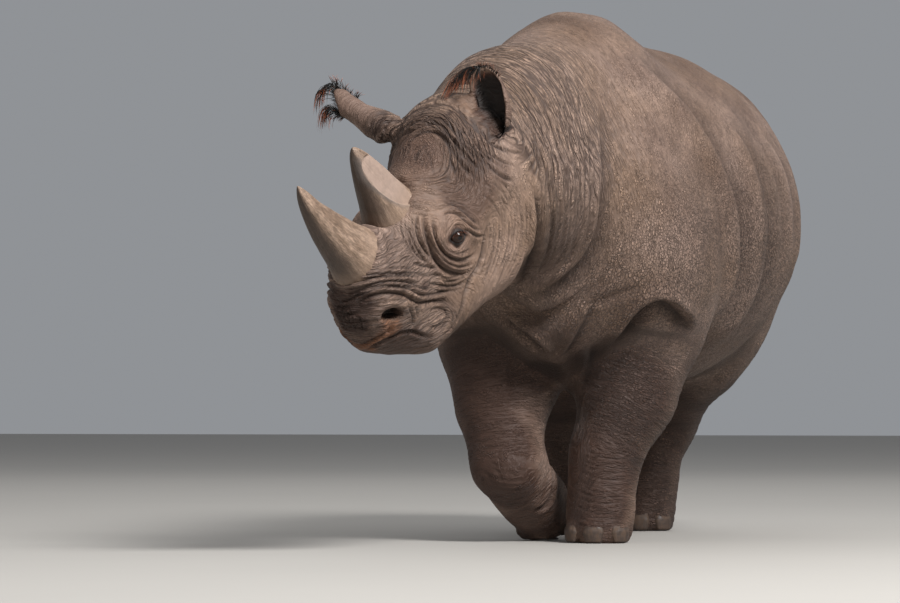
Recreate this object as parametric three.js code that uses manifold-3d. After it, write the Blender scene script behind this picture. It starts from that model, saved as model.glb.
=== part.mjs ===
// A black rhinoceros cow, life size, walking: head low and turned to her right, right forefoot folded back.
// Millimetres, +Z up. She faces -Y and her left side is +X. The floor is z = 0, under the middle of her box.
//
// Her flesh is one smooth field: muscles are ellipsoids and tapered limbs, blended where they meet.
// The field is turned into a mesh at a cell size that suits each body part, and thin cuts part it into nodes.
import * as THREE from "three";
import { mergeVertices } from "three/addons/utils/BufferGeometryUtils.js";
import Module from "manifold-3d";

const wasm = await Module();
wasm.setup();

// ---------------------------------------------------------------- driving dimensions
const WITHERS_HEIGHT = 1562; // floor to the top of the shoulder hump
const RUMP_HEIGHT = 1510;
const BARREL_HALF_WIDTH = 535;
const BELLY_CLEARANCE = 440;
const BEND_AT_RUMP = -50; // how far the spine has swung to her right where the rump starts
const RUMP_Y = 1100;
const GAP = 0.5; // between neighbouring nodes
// Sizes of the cells that turn each part of the field into a mesh.
const CELL = { trunk: 122, neck: 78, head: 39, leg: 66, ear: 27 };

// The head's own frame: `forward` runs from the nape to the lip, `up` to the forehead, `left` to her left.
const HEAD = { x: -119, y: -852, z: 1072, turn: 22, nod: 41, tilt: -7 };

const v3 = (x, y, z) => new THREE.Vector3(x, y, z);
const rad = THREE.MathUtils.degToRad;

// ---------------------------------------------------------------- the language of shapes
// A shape is a function of a point that gives its distance to the surface, negative inside.

// Ellipsoid at `at` with radii along its own axes, turned by Euler angles in degrees.
function muscle(at, radii, turned = [0, 0, 0]) {
  const back = new THREE.Matrix4()
    .makeRotationFromEuler(new THREE.Euler(...turned.map(rad)))
    .setPosition(at)
    .invert();
  const q = new THREE.Vector3();
  return (p) => {
    q.copy(p).applyMatrix4(back);
    const k = Math.hypot(q.x / radii.x, q.y / radii.y, q.z / radii.z);
    const g = Math.hypot(q.x / radii.x ** 2, q.y / radii.y ** 2, q.z / radii.z ** 2);
    return g > 0 ? (k * (k - 1)) / g : -Math.min(radii.x, radii.y, radii.z);
  };
}

// A limb that tapers from radius r1 at a to r2 at b.
function limb(a, b, r1, r2) {
  const along = b.clone().sub(a);
  const long2 = along.lengthSq();
  const q = new THREE.Vector3();
  return (p) => {
    q.copy(p).sub(a);
    const t = THREE.MathUtils.clamp(q.dot(along) / long2, 0, 1);
    return q.addScaledVector(along, -t).length() - THREE.MathUtils.lerp(r1, r2, t);
  };
}

const soften = (a, b, r) => {
  const h = Math.max(r - Math.abs(a - b), 0) / r;
  return Math.min(a, b) - h * h * r * 0.25;
};
const blended = (radius, shapes) => (p) => shapes.map((s) => s(p)).reduce((a, b) => soften(a, b, radius));
const mirrored = (shape) => {
  const q = new THREE.Vector3();
  return (p) => shape(q.set(Math.abs(p.x), p.y, p.z));
};

// The shape seen from inside another frame.
const inFrame = (frame, shape) => {
  const back = frame.clone().invert();
  const q = new THREE.Vector3();
  return (p) => shape(q.copy(p).applyMatrix4(back));
};

// ---------------------------------------------------------------- trunk and neck
// The spine swings to her right towards the rump, so the trunk is modelled straight and bent with it.
const spineX = (y) => BEND_AT_RUMP * Math.max(0, y / RUMP_Y) ** 2;

const trunkStraight = blended(150, [
  muscle(v3(0, 470, 1010), v3(480, 700, 470)), // rib cage
  muscle(v3(0, 680, 945), v3(BARREL_HALF_WIDTH, 620, 945 - BELLY_CLEARANCE)), // belly
  muscle(v3(0, 60, WITHERS_HEIGHT - 320), v3(170, 320, 320)), // withers
  muscle(v3(0, RUMP_Y, RUMP_HEIGHT - 400), v3(405, 400, 400)), // rump
  mirrored(muscle(v3(245, 1010, 1235), v3(110, 150, 115))), // points of the hip
  muscle(v3(0, -90, 880), v3(280, 300, 330)), // chest
  muscle(v3(0, -150, 700), v3(140, 250, 165)), // brisket
  mirrored(muscle(v3(235, 10, 1000), v3(150, 270, 400), [12, -8, 0])), // shoulder blades
  mirrored(muscle(v3(230, -140, 830), v3(150, 190, 210))), // points of the shoulder
  limb(v3(-50, -130, 600), v3(-105, -50, 430), 75, 42), // fold of skin from the brisket to the right forearm
]);
const trunk = (p) => trunkStraight(v3(p.x - spineX(p.y), p.y, p.z));

const neck = blended(110, [
  limb(v3(0, -90, 1295), v3(-78, -480, 1205), 225, 182), // crest
  limb(v3(-10, -180, 1020), v3(-90, -680, 1010), 290, 205), // throat
  limb(v3(-85, -480, 1200), v3(-130, -800, 1115), 178, 145), // nape
]);

// ---------------------------------------------------------------- legs
// Joints from the top down, each with its radius.
const legOf = (radius, joints) =>
  blended(
    radius,
    joints.slice(1).map(([b, r2], i) => limb(joints[i][0], b, joints[i][1], r2)),
  );

const LEGS = {
  left_fore: {
    joints: [
      [v3(235, -30, 800), 180],
      [v3(215, 20, 620), 152],
      [v3(165, -25, 420), 128],
      [v3(104, -62, 250), 97],
      [v3(95, -75, 120), 88],
      [v3(95, -90, 28), 98],
    ],
    knee: { at: v3(105, -60, 270), facing: v3(0.1, 0, 1) },
    ankle: { at: v3(95, -80, 95), facing: v3(0, 0, 1) },
    toe: v3(0.05, -1, 0),
  },
  right_fore: {
    joints: [
      [v3(-232, -80, 800), 175],
      [v3(-245, -50, 600), 145],
      [v3(-202, -100, 400), 120],
      [v3(-166, -140, 228), 100],
      [v3(-132, -35, 140), 86],
      [v3(-105, 45, 86), 98],
    ],
    knee: { at: v3(-166, -130, 245), facing: v3(-0.15, -0.6, 0.9) },
    ankle: { at: v3(-120, 0, 118), facing: v3(-0.3, -0.85, 0.3) },
    sole: { at: v3(-96, 78, 86), facing: v3(0.33, 0.92, -0.12) },
    toe: v3(0.1, -0.25, -1),
  },
  left_hind: {
    joints: [
      [v3(165, 1150, 880), 255],
      [v3(135, 1080, 660), 200],
      [v3(98, 1085, 560), 155],
      [v3(35, 1120, 460), 118],
      [v3(8, 1150, 350), 95],
      [v3(-32, 1105, 150), 82],
      [v3(-40, 1075, 28), 94],
    ],
    knee: { at: v3(20, 1140, 330), facing: v3(0.2, 0, 1) },
    ankle: { at: v3(-35, 1085, 95), facing: v3(0, 0, 1) },
    toe: v3(0.05, -1, 0),
  },
  right_hind: {
    joints: [
      [v3(-255, 1130, 880), 255],
      [v3(-270, 980, 660), 200],
      [v3(-280, 940, 560), 158],
      [v3(-285, 945, 460), 122],
      [v3(-290, 970, 350), 96],
      [v3(-290, 890, 150), 82],
      [v3(-290, 855, 28), 94],
    ],
    knee: { at: v3(-290, 955, 330), facing: v3(0, 0.2, 1) },
    ankle: { at: v3(-290, 872, 95), facing: v3(0, 0, 1) },
    toe: v3(-0.05, -1, 0),
  },
};
// A foot off the ground is flattened by its own sole.
const flattened = (shape, { at, facing }) => {
  const out = facing.clone().normalize();
  const level = at.dot(out);
  return (p) => -soften(-shape(p), level - p.dot(out), 30);
};

for (const leg of Object.values(LEGS)) {
  const whole = legOf(60, leg.joints);
  leg.shape = leg.sole ? flattened(whole, leg.sole) : whole;
}

// ---------------------------------------------------------------- head
// Head coordinates: x is her right, y is forward, z is up, from the middle of the brain case.
const headFrame = (() => {
  const turn = rad(HEAD.turn);
  const nod = rad(HEAD.nod);
  const forward = v3(-Math.sin(turn) * Math.cos(nod), -Math.cos(turn) * Math.cos(nod), -Math.sin(nod));
  const right = v3(-Math.cos(turn), Math.sin(turn), 0).applyAxisAngle(forward, rad(HEAD.tilt));
  const up = right.clone().cross(forward);
  return new THREE.Matrix4().makeBasis(right, forward, up).setPosition(HEAD.x, HEAD.y, HEAD.z);
})();

const headShape = mirrored(
  blended(50, [
    muscle(v3(0, 15, 2), v3(165, 170, 170)), // brain case
    limb(v3(0, 60, 46), v3(0, 330, 18), 118, 94), // forehead
    limb(v3(0, 330, 18), v3(0, 515, 4), 94, 102), // bridge of the nose
    limb(v3(0, 150, -85), v3(0, 480, -95), 140, 118), // core
    muscle(v3(0, 525, -78), v3(114, 112, 118)), // muzzle
    limb(v3(0, 560, -95), v3(0, 590, -130), 84, 46), // hooked upper lip
    limb(v3(60, 120, -240), v3(44, 450, -215), 100, 80), // lower jaw
    muscle(v3(0, 505, -190), v3(76, 70, 48)), // chin
    muscle(v3(80, 95, -185), v3(82, 165, 165), [0, 4, 0]), // cheek
    limb(v3(126, 60, -15), v3(104, 330, -66), 54, 44), // cheekbone
    muscle(v3(100, 288, 10), v3(46, 85, 48)), // brow
  ]),
);

const head = inFrame(headFrame, headShape);

// ---------------------------------------------------------------- the whole body
const body = blended(110, [trunk, neck]);

function flesh(p) {
  const bare = body(p);
  const withHead = soften(bare, head(p), 70);
  return Object.values(LEGS).reduce((d, leg) => Math.min(d, soften(bare, leg.shape(p), 90)), withHead);
}

// ---------------------------------------------------------------- meshes
const EDGES = [];
for (let corner = 0; corner < 8; corner++)
  for (const bit of [1, 2, 4]) if (!(corner & bit)) EDGES.push([corner, corner | bit]);

// A closed mesh of the field inside a box, one vertex per crossed cell, moved onto the surface.
function netOf(field, box, cell) {
  const n = box.getSize(v3()).divideScalar(cell).ceil().addScalar(2);
  const at = (i, j, k) => v3(i - 0.5, j - 0.5, k - 0.5).multiplyScalar(cell).add(box.min);
  const stride = [1, n.x + 1, (n.x + 1) * (n.y + 1)];
  const value = new Float64Array(stride[2] * (n.z + 1));
  for (let k = 0; k <= n.z; k++)
    for (let j = 0; j <= n.y; j++)
      for (let i = 0; i <= n.x; i++) {
        const rim = !i || !j || !k || i === n.x || j === n.y || k === n.z;
        value[i + j * stride[1] + k * stride[2]] = rim ? cell : field(at(i, j, k));
      }
  untangle(value, n, stride);
  const bits = (corner) => v3(corner & 1, (corner >> 1) & 1, (corner >> 2) & 1);
  const offsetOf = (corner) => bits(corner).dot(v3(...stride));
  const points = [];
  const vertexOf = new Map();
  for (let k = 0; k < n.z; k++)
    for (let j = 0; j < n.y; j++)
      for (let i = 0; i < n.x; i++) {
        const base = i + j * stride[1] + k * stride[2];
        const sum = v3(0, 0, 0);
        let crossed = 0;
        for (const [c, d] of EDGES) {
          const a = value[base + offsetOf(c)];
          const b = value[base + offsetOf(d)];
          if (a < 0 === b < 0) continue;
          sum.add(v3(i, j, k)).add(bits(c).lerp(bits(d), a / (a - b)));
          crossed++;
        }
        if (!crossed) continue;
        const spot = at(sum.x / crossed, sum.y / crossed, sum.z / crossed);
        vertexOf.set(base, points.length);
        const atRim = !i || !j || !k || i === n.x - 1 || j === n.y - 1 || k === n.z - 1;
        points.push(atRim ? spot : settled(spot, field, cell));
      }
  const faces = [];
  const quad = (a, b, c, d) => {
    const [A, B, C, D] = [a, b, c, d].map((v) => points[v]);
    if (A.distanceToSquared(C) < B.distanceToSquared(D)) faces.push(a, b, c, a, c, d);
    else faces.push(a, b, d, b, c, d);
  };
  for (let k = 0; k < n.z; k++)
    for (let j = 0; j < n.y; j++)
      for (let i = 0; i < n.x; i++) {
        const base = i + j * stride[1] + k * stride[2];
        const inside = value[base] < 0;
        for (const [axis, u, w] of [[0, 1, 2], [1, 2, 0], [2, 0, 1]]) {
          if (![i, j, k][u] || ![i, j, k][w] || inside === value[base + stride[axis]] < 0) continue;
          const ring = [base - stride[u] - stride[w], base - stride[w], base, base - stride[u]];
          const [a, b, c, d] = ring.map((cellBase) => vertexOf.get(cellBase));
          if (inside) quad(a, b, c, d);
          else quad(d, c, b, a);
        }
      }
  return meshOf(points, faces);
}

// Where only two opposite corners of a cell's face are inside, a third is taken in.
// Otherwise two walls of the mesh would share an edge.
function untangle(value, n, stride) {
  for (let changed = true; changed; ) {
    changed = false;
    for (const [u, w] of [[0, 1], [1, 2], [2, 0]])
      for (let k = 1; k < n.z; k++)
        for (let j = 1; j < n.y; j++)
          for (let i = 1; i < n.x; i++) {
            const a = i + j * stride[1] + k * stride[2];
            const [b, c, d] = [a + stride[u], a + stride[u] + stride[w], a + stride[w]];
            if (value[a] < 0 !== value[c] < 0 || value[b] < 0 !== value[d] < 0) continue;
            if (value[a] < 0 === value[b] < 0) continue;
            const outer = value[a] < 0 ? [b, d] : [a, c];
            value[value[outer[0]] < value[outer[1]] ? outer[0] : outer[1]] = -1;
            changed = true;
          }
  }
}

// A few Newton steps carry a point to the surface, but never out of its own cell.
function settled(start, field, cell) {
  const p = start.clone();
  const probe = v3(0, 0, 0);
  const h = cell / 20;
  for (let round = 0; round < 4; round++) {
    const d = field(p);
    const slope = v3(
      field(probe.copy(p).setX(p.x + h)) - d,
      field(probe.copy(p).setY(p.y + h)) - d,
      field(probe.copy(p).setZ(p.z + h)) - d,
    ).divideScalar(h);
    if (slope.lengthSq() < 1e-6) break;
    p.addScaledVector(slope, -d / slope.lengthSq());
  }
  return p.distanceTo(start) < cell ? p : start;
}

function meshOf(points, faces) {
  const geometry = new THREE.BufferGeometry().setFromPoints(points).setIndex(faces);
  geometry.computeVertexNormals();
  return geometry;
}

// The same mesh with every vertex moved outwards.
function grown(geometry, by) {
  const wide = geometry.clone();
  const { position, normal } = wide.attributes;
  for (let i = 0; i < position.count; i++) {
    const out = v3(0, 0, 0).fromBufferAttribute(normal, i).multiplyScalar(by);
    position.setXYZ(i, position.getX(i) + out.x, position.getY(i) + out.y, position.getZ(i) + out.z);
  }
  return wide;
}

// A ready-made geometry closed along its seams.
function sealed(geometry) {
  const plain = new THREE.BufferGeometry().setAttribute("position", geometry.attributes.position.clone());
  if (geometry.index) plain.setIndex(geometry.index);
  const closed = mergeVertices(plain, 1e-3);
  closed.computeVertexNormals();
  return closed;
}

function solidOf(geometry) {
  return new wasm.Manifold(
    new wasm.Mesh({
      numProp: 3,
      vertProperties: new Float32Array(geometry.attributes.position.array),
      triVerts: new Uint32Array(geometry.index.array),
    }),
  );
}

function geometryOf(solid) {
  const mesh = solid.getMesh();
  const positions = new Float32Array(mesh.numVert * 3);
  for (let i = 0; i < mesh.numVert; i++)
    positions.set(mesh.vertProperties.subarray(i * mesh.numProp, i * mesh.numProp + 3), i * 3);
  const geometry = new THREE.BufferGeometry()
    .setAttribute("position", new THREE.BufferAttribute(positions, 3))
    .setIndex(new THREE.BufferAttribute(mesh.triVerts, 1));
  geometry.computeVertexNormals();
  return geometry;
}

const largest = (solid) => solid.decompose().reduce((a, b) => (a.volume() > b.volume() ? a : b));

// ---------------------------------------------------------------- cutters
// Each cutter comes in two sizes, so that a gap is left between the piece it takes and what stays.
const boxCutter = (frame, low, high) => {
  const cut = (by) =>
    solidOf(
      sealed(new THREE.BoxGeometry(...high.clone().sub(low).addScalar(2 * by)))
        .translate(...low.clone().add(high).multiplyScalar(0.5))
        .applyMatrix4(frame),
    );
  return { take: cut(0), leave: cut(GAP) };
};

// A frame whose +Z is `facing`, set at a point.
const facingFrame = (at, facing) =>
  new THREE.Matrix4().compose(
    at,
    new THREE.Quaternion().setFromUnitVectors(v3(0, 0, 1), facing.clone().normalize()),
    v3(1, 1, 1),
  );

const REACH = 900; // longer than any one leg piece
const below = (plane) =>
  boxCutter(facingFrame(plane.at, plane.facing), v3(-REACH, -REACH, -REACH), v3(REACH, REACH, 0));

const box = (low, high) => new THREE.Box3(low, high);
const above = (z) => boxCutter(new THREE.Matrix4(), v3(-2000, -2500, z), v3(2000, 2500, 2000)).take;

// ---------------------------------------------------------------- turned pieces
// A closed tube of level rings up or down a path. `ring(t)` gives a centre and radii, and t = 1 is a point.
function tube(sides, rings, ring) {
  const points = [];
  for (let j = 0; j < rings; j++) {
    const { at, rx, ry } = ring(j / rings);
    for (let i = 0; i < sides; i++) {
      const angle = (i / sides) * 2 * Math.PI;
      points.push(v3(rx * Math.cos(angle), ry * Math.sin(angle), 0).add(at));
    }
  }
  const foot = points.push(ring(0).at.clone()) - 1;
  const tip = points.push(ring(1).at.clone()) - 1;
  const faces = [];
  const climbs = points[tip].z > points[foot].z;
  for (let k = 0; k < sides; k++) {
    const [i, next] = climbs ? [k, (k + 1) % sides] : [(k + 1) % sides, k];
    faces.push(foot, next, i);
    for (let j = 0; j < rings - 1; j++) {
      const [a, b, c, d] = [j * sides + i, j * sides + next, (j + 1) * sides + next, (j + 1) * sides + i];
      faces.push(a, b, c, a, c, d);
    }
    faces.push((rings - 1) * sides + i, (rings - 1) * sides + next, tip);
  }
  return meshOf(points, faces);
}

// A piece and the pocket that it sits in.
const meshSolid = (geometry, frame) => solidOf(geometry.clone().applyMatrix4(frame));
const fitted = (geometry, frame) => ({
  take: meshSolid(geometry, frame),
  leave: meshSolid(grown(geometry, GAP), frame),
});
const without = (solid, cutters) => cutters.reduce((rest, cutter) => rest.subtract(cutter.leave), solid);

// ---------------------------------------------------------------- horns
// A horn is widest at its skirt, which sits SET_IN deep in the skin, and leans by `sweep` towards its tip.
const SET_IN = 22;
const SKIRT = { flare: 0.16, sharpness: 6 };

const hornOf = ({ height, halfWidth, halfLength, sweep, blunt }) =>
  tube(16, 9, (t) => {
    const taper = (1 - t) ** blunt * (1 + SKIRT.flare * (1 - t) ** SKIRT.sharpness);
    return {
      at: v3(0, sweep * t * t, height * (1 - (1 - t) ** 1.25) - SET_IN * (1 - t)),
      rx: halfWidth * taper,
      ry: halfLength * taper,
    };
  });

const onHead = (y, z, pitch) =>
  new THREE.Matrix4()
    .makeRotationX(rad(pitch))
    .setPosition(0, y, z)
    .premultiply(headFrame);

const HORNS = {
  front_horn: {
    shape: { height: 330, halfWidth: 74, halfLength: 84, sweep: -50, blunt: 0.8 },
    frame: onHead(530, 88, -26),
  },
  rear_horn: {
    shape: { height: 246, halfWidth: 68, halfLength: 94, sweep: 10, blunt: 0.72 },
    frame: onHead(335, 92, -8),
    worn: { at: v3(0, -18, 120), facing: v3(0.12, -0.86, 0.5) }, // the rear face is rubbed flat
  },
};

const EYE = { radius: 21, at: v3(144, 288, -27) };

// ---------------------------------------------------------------- ears
// An ear's own frame: z from root to tip, y towards the opening.
const EARS = {
  left_ear: { root: v3(-8, -872, 1105), tip: v3(-32, -935, 1322), opens: v3(-0.2, -0.97, 0.1) },
  right_ear: { root: v3(-272, -900, 1144), tip: v3(-462, -890, 1262), opens: v3(-0.75, 0.6, 0.25) },
};

const earOuter = blended(30, [
  limb(v3(0, 0, -30), v3(0, 0, 70), 34, 31),
  muscle(v3(0, 0, 130), v3(60, 40, 96)),
]);
const earHollow = blended(24, [
  muscle(v3(0, 12, 134), v3(47, 38, 78)),
  limb(v3(0, 6, 48), v3(0, 10, 110), 14, 28),
]);
const earOpening = { at: v3(0, 24, 60), facing: v3(0, 0.985, 0.17) };

function earFrame({ root, tip, opens }) {
  const z = tip.clone().sub(root).normalize();
  const x = opens.clone().cross(z).normalize();
  return new THREE.Matrix4().makeBasis(x, z.clone().cross(x), z).setPosition(root);
}

// ---------------------------------------------------------------- nails
// Three to a foot, `spread` degrees apart. A nail is a shell sunk into the foot, clear of the floor.
const NAIL = { spread: 50, width: 34, thickness: 15, height: 44, sink: 7, clearance: 3 };

// A foot's frame: z up through the foot from its sole, y towards the middle toe.
function footFrame({ joints, sole, toe }) {
  const [last] = joints.at(-1);
  const up = sole ? sole.facing.clone().normalize().negate() : v3(0, 0, 1);
  const side = toe.clone().cross(up).normalize();
  const middle = sole ? sole.at : last.clone().setZ(0);
  return new THREE.Matrix4().makeBasis(side, up.clone().cross(side), up).setPosition(middle);
}

function nailsOf(leg) {
  const reach = leg.joints.at(-1)[1] - NAIL.sink;
  const shell = new THREE.SphereGeometry(1, 8, 5).scale(NAIL.width, NAIL.thickness, NAIL.height);
  return [-NAIL.spread, 0, NAIL.spread].map((angle) => {
    const place = new THREE.Matrix4()
      .makeRotationZ(rad(angle))
      .multiply(new THREE.Matrix4().makeTranslation(0, reach, NAIL.height * 0.72));
    return fitted(sealed(shell), footFrame(leg).multiply(place));
  });
}

// ---------------------------------------------------------------- sleeves
// The sleeve that parts a leg from the trunk is a loose tube down the leg, wider below a folded leg's elbow.
const SLEEVE = { top: 690, bottom: -600, slack: 90, foldedSlack: 166, elbow: 360 };

// The plane between the two legs of a pair: its x on the floor, and how far it leans to her left with height.
const PARTING = { fore: { x: -5, lean: 0 }, hind: { x: -165, lean: 0.138 } };
const sideOf = (name) => {
  const { x, lean } = PARTING[name.split("_")[1]];
  const towards = name.startsWith("left") ? 1 : -1;
  const plane = facingFrame(v3(x, 0, 0), v3(1, 0, -lean).multiplyScalar(towards));
  return boxCutter(plane, v3(-2000, -2000, GAP / 2), v3(2000, 2000, 2000)).take;
};

// Centre and radius of a leg at a height.
function across(joints, z) {
  const under = joints.findIndex(([at]) => at.z <= z);
  if (under < 0) return { at: joints.at(-1)[0].clone().setZ(z), r: joints.at(-1)[1] };
  const [[low, rLow], [high, rHigh]] = [joints[under], joints[under - 1]];
  const t = (z - low.z) / (high.z - low.z);
  return { at: low.clone().lerp(high, t), r: THREE.MathUtils.lerp(rLow, rHigh, t) };
}

const sleeveOf = (leg) =>
  tube(14, 12, (t) => {
    const z = THREE.MathUtils.lerp(SLEEVE.top, SLEEVE.bottom, t);
    const { at, r } = across(leg.joints, z);
    const slack = leg.sole && z < SLEEVE.elbow ? SLEEVE.foldedSlack : SLEEVE.slack;
    return { at, rx: r + slack, ry: r + slack };
  });

// ---------------------------------------------------------------- tail
// It hangs from its root, standing off by `reach` at the tip. The tuft starts at `from` of its length.
const TAIL = { root: v3(-92, 1440, 1230), reach: 95, drop: 560, rootRadius: 46, tipRadius: 17 };
const TUFT = { from: 0.78, length: 0.4, halfWidth: 44, halfDepth: 30 };
const downTail = (t) => v3(0, TAIL.reach * Math.sin(1.6 * t), -TAIL.drop * t);

const tailTube = tube(10, 8, (t) => {
  const radius = THREE.MathUtils.lerp(TAIL.rootRadius, TAIL.tipRadius, Math.min(1, t * 1.15));
  return { at: downTail(t), rx: radius, ry: radius };
});

const tuftTube = tube(8, 6, (t) => {
  const fullness = Math.sin(Math.PI * (0.25 + 0.75 * t)) ** 0.7;
  return {
    at: downTail(TUFT.from + TUFT.length * t),
    rx: TUFT.halfWidth * fullness,
    ry: TUFT.halfDepth * fullness,
  };
});

// ---------------------------------------------------------------- nodes
const rhino = new THREE.Group();
rhino.name = "black_rhinoceros";
const FINISH = {
  hide: { color: 0x8a7668, roughness: 0.85 },
  horn: { color: 0x9c8a76, roughness: 0.55 },
  nail: { color: 0x6b5c50, roughness: 0.6 },
  eye: { color: 0x241a14, roughness: 0.12 },
  hair: { color: 0x2a211d, roughness: 0.7 },
};
const finishes = Object.fromEntries(
  Object.entries(FINISH).map(([name, look]) => [
    name,
    new THREE.MeshStandardMaterial({ ...look, metalness: 0 }),
  ]),
);
const solids = {};
function keep(name, solid, finish) {
  solids[name] = { solid, finish };
}

const bodySolid = (low, high, cell) => solidOf(netOf(flesh, box(low, high), cell));

// Horns
const inHead = [];
for (const [name, { shape, frame, worn }] of Object.entries(HORNS)) {
  const horn = fitted(hornOf(shape), frame);
  inHead.push(horn);
  if (worn) {
    const facet = frame.clone().multiply(facingFrame(worn.at, worn.facing));
    horn.take = horn.take.subtract(boxCutter(facet, v3(-300, -300, 0), v3(300, 300, 300)).take);
  }
  keep(name, horn.take, "horn");
}

// Eyes
for (const [side, sign] of [["left", -1], ["right", 1]]) {
  const at = new THREE.Matrix4().makeTranslation(sign * EYE.at.x, EYE.at.y, EYE.at.z).premultiply(headFrame);
  const ball = fitted(sealed(new THREE.IcosahedronGeometry(EYE.radius, 2)), at);
  inHead.push(ball);
  keep(side + "_eye", ball.take, "eye");
}

// Ears
for (const [name, ear] of Object.entries(EARS)) {
  const frame = earFrame(ear);
  const outer = netOf(earOuter, box(v3(-80, -70, -90), v3(80, 70, 250)), CELL.ear);
  const hollow = netOf(earHollow, box(v3(-70, -60, 20), v3(70, 80, 230)), CELL.ear);
  const opening = facingFrame(earOpening.at, earOpening.facing);
  const mouth = boxCutter(opening, v3(-200, -200, 0), v3(200, 300, 200)).take;
  const leaf = solidOf(outer).subtract(mouth).subtract(solidOf(hollow)).transform(frame.elements);
  inHead.push({ leave: solidOf(grown(outer, GAP)).transform(frame.elements) });
  keep(name, leaf, "hide");
}

// Head
const headCut = boxCutter(headFrame, v3(-320, -45, -420), v3(320, 900, 420));
const headBox = box(v3(-300, -70, -400), v3(300, 800, 300)).applyMatrix4(headFrame);
const skull = bodySolid(headBox.min, headBox.max, CELL.head).intersect(headCut.take);
keep("head", largest(without(skull, inHead)), "hide");

// Neck
const neckCut = boxCutter(
  new THREE.Matrix4().makeRotationX(rad(-12)).setPosition(0, -280, 1150),
  v3(-700, -1200, -760),
  v3(700, 0, 600),
);
const neckRaw = bodySolid(v3(-500, -1250, 480), v3(450, 0, 1650), CELL.neck);
keep("neck", largest(without(neckRaw.intersect(neckCut.take), [headCut, ...inHead])), "hide");

// Legs
const legCutters = [];
for (const [name, leg] of Object.entries(LEGS)) {
  const cutter = fitted(sleeveOf(leg), new THREE.Matrix4());
  legCutters.push(cutter);
  const bounds = new THREE.Box3().setFromPoints(leg.joints.map(([at]) => at)).expandByScalar(300);
  const around = box(bounds.min.setZ(-40), bounds.max.setZ(SLEEVE.top + 40));
  const field = (p) => soften(body(p), leg.shape(p), 90);
  const inSleeve = solidOf(netOf(field, around, CELL.leg)).intersect(cutter.take);
  const raw = inSleeve.intersect(sideOf(name)).intersect(above(0));
  const knee = below(leg.knee);
  const ankle = below(leg.ankle);
  keep(name + "_upper_leg", largest(raw.subtract(knee.leave)), "hide");
  keep(name + "_lower_leg", largest(raw.intersect(knee.take).subtract(ankle.leave)), "hide");
  const nails = nailsOf(leg);
  keep(name + "_foot", largest(without(raw.intersect(ankle.take), nails)), "hide");
  nails.forEach((nail, i) => {
    keep(name + "_nail_" + (i + 1), nail.take.intersect(above(NAIL.clearance)), "nail");
  });
}

// Tail
const tail = fitted(tailTube, new THREE.Matrix4().setPosition(TAIL.root));
keep("tail", tail.take, "hide");
const tuft = meshSolid(tuftTube, new THREE.Matrix4().setPosition(TAIL.root));
keep("tail_tuft", largest(tuft.subtract(tail.leave)), "hair");

// Trunk
const trunkSolid = bodySolid(v3(-650, -400, 300), v3(600, 1650, 1650), CELL.trunk);
keep("trunk", largest(without(trunkSolid, [...legCutters, neckCut, headCut, tail])), "hide");

// ---------------------------------------------------------------- assembly
const whole = new THREE.Box3();
for (const [name, { solid, finish }] of Object.entries(solids)) {
  const mesh = new THREE.Mesh(geometryOf(solid), finishes[finish]);
  mesh.name = name;
  rhino.add(mesh);
  whole.expandByObject(mesh);
}
const middle = whole.getCenter(v3(0, 0, 0));
rhino.position.set(-middle.x, -middle.y, 0);

export default rhino;
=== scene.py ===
import math

import bmesh
import bpy
import numpy as np
from mathutils import Matrix, Vector
from mathutils.bvhtree import BVHTree


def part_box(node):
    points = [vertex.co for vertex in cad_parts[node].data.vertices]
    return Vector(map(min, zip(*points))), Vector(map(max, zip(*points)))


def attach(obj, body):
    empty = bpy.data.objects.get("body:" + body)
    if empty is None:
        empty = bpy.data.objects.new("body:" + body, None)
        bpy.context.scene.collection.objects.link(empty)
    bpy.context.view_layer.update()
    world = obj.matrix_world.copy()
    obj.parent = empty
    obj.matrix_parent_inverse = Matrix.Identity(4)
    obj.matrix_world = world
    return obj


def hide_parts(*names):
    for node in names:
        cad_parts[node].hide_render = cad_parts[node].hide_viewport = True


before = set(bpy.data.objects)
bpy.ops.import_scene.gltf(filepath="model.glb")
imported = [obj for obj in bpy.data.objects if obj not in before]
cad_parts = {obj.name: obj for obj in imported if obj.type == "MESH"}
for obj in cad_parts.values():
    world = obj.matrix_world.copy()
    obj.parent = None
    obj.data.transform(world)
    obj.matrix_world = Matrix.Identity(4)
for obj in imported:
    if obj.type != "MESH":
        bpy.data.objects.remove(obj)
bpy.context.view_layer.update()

bl_info = {
    "name": "Black Rhinoceros",
    "version": (1, 0, 0),
    "blender": (4, 5, 0),
    "location": "View3D > Sidebar > Rhinoceros",
    "description": "Skin, horns, nails, eyes and hair of a walking black rhinoceros cow, life size",
    "category": "Object",
}

MM = 0.001
DOUBLES = 0.02 * MM  # vertices closer than this are one
BODY = "root"

# The point on the floor under her withers. She faces -Y, and her left side is +X.
WITHERS = Vector((17.27, -3.89, 0)) * MM
NECK_ROOT = -300 * MM  # in front of it the neck bends to her right

# How her head is held, in degrees.
HEAD_TURN = 22
HEAD_NOD = 41
EYE_FORWARD = 288 * MM  # from the middle of the brain case
EYE_UP = -27 * MM

# The view: an eye at knee height, twelve metres off, to her left of straight ahead.
VIEW_AZIMUTH = math.radians(14)
VIEW_DISTANCE = 12.0
VIEW_HEIGHT = 0.40
VIEW_SIZE = (900, 603)
FOCAL_PIXELS = 4104
LEVEL_PIXEL = (575, 404.2)  # where the level line of sight through her withers meets the picture

HIDE_NODES = [
    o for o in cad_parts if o.endswith(("leg", "foot", "_ear"))
] + ["head", "neck", "trunk", "tail"]

NAIL_NODES = [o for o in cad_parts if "_nail_" in o]


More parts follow.
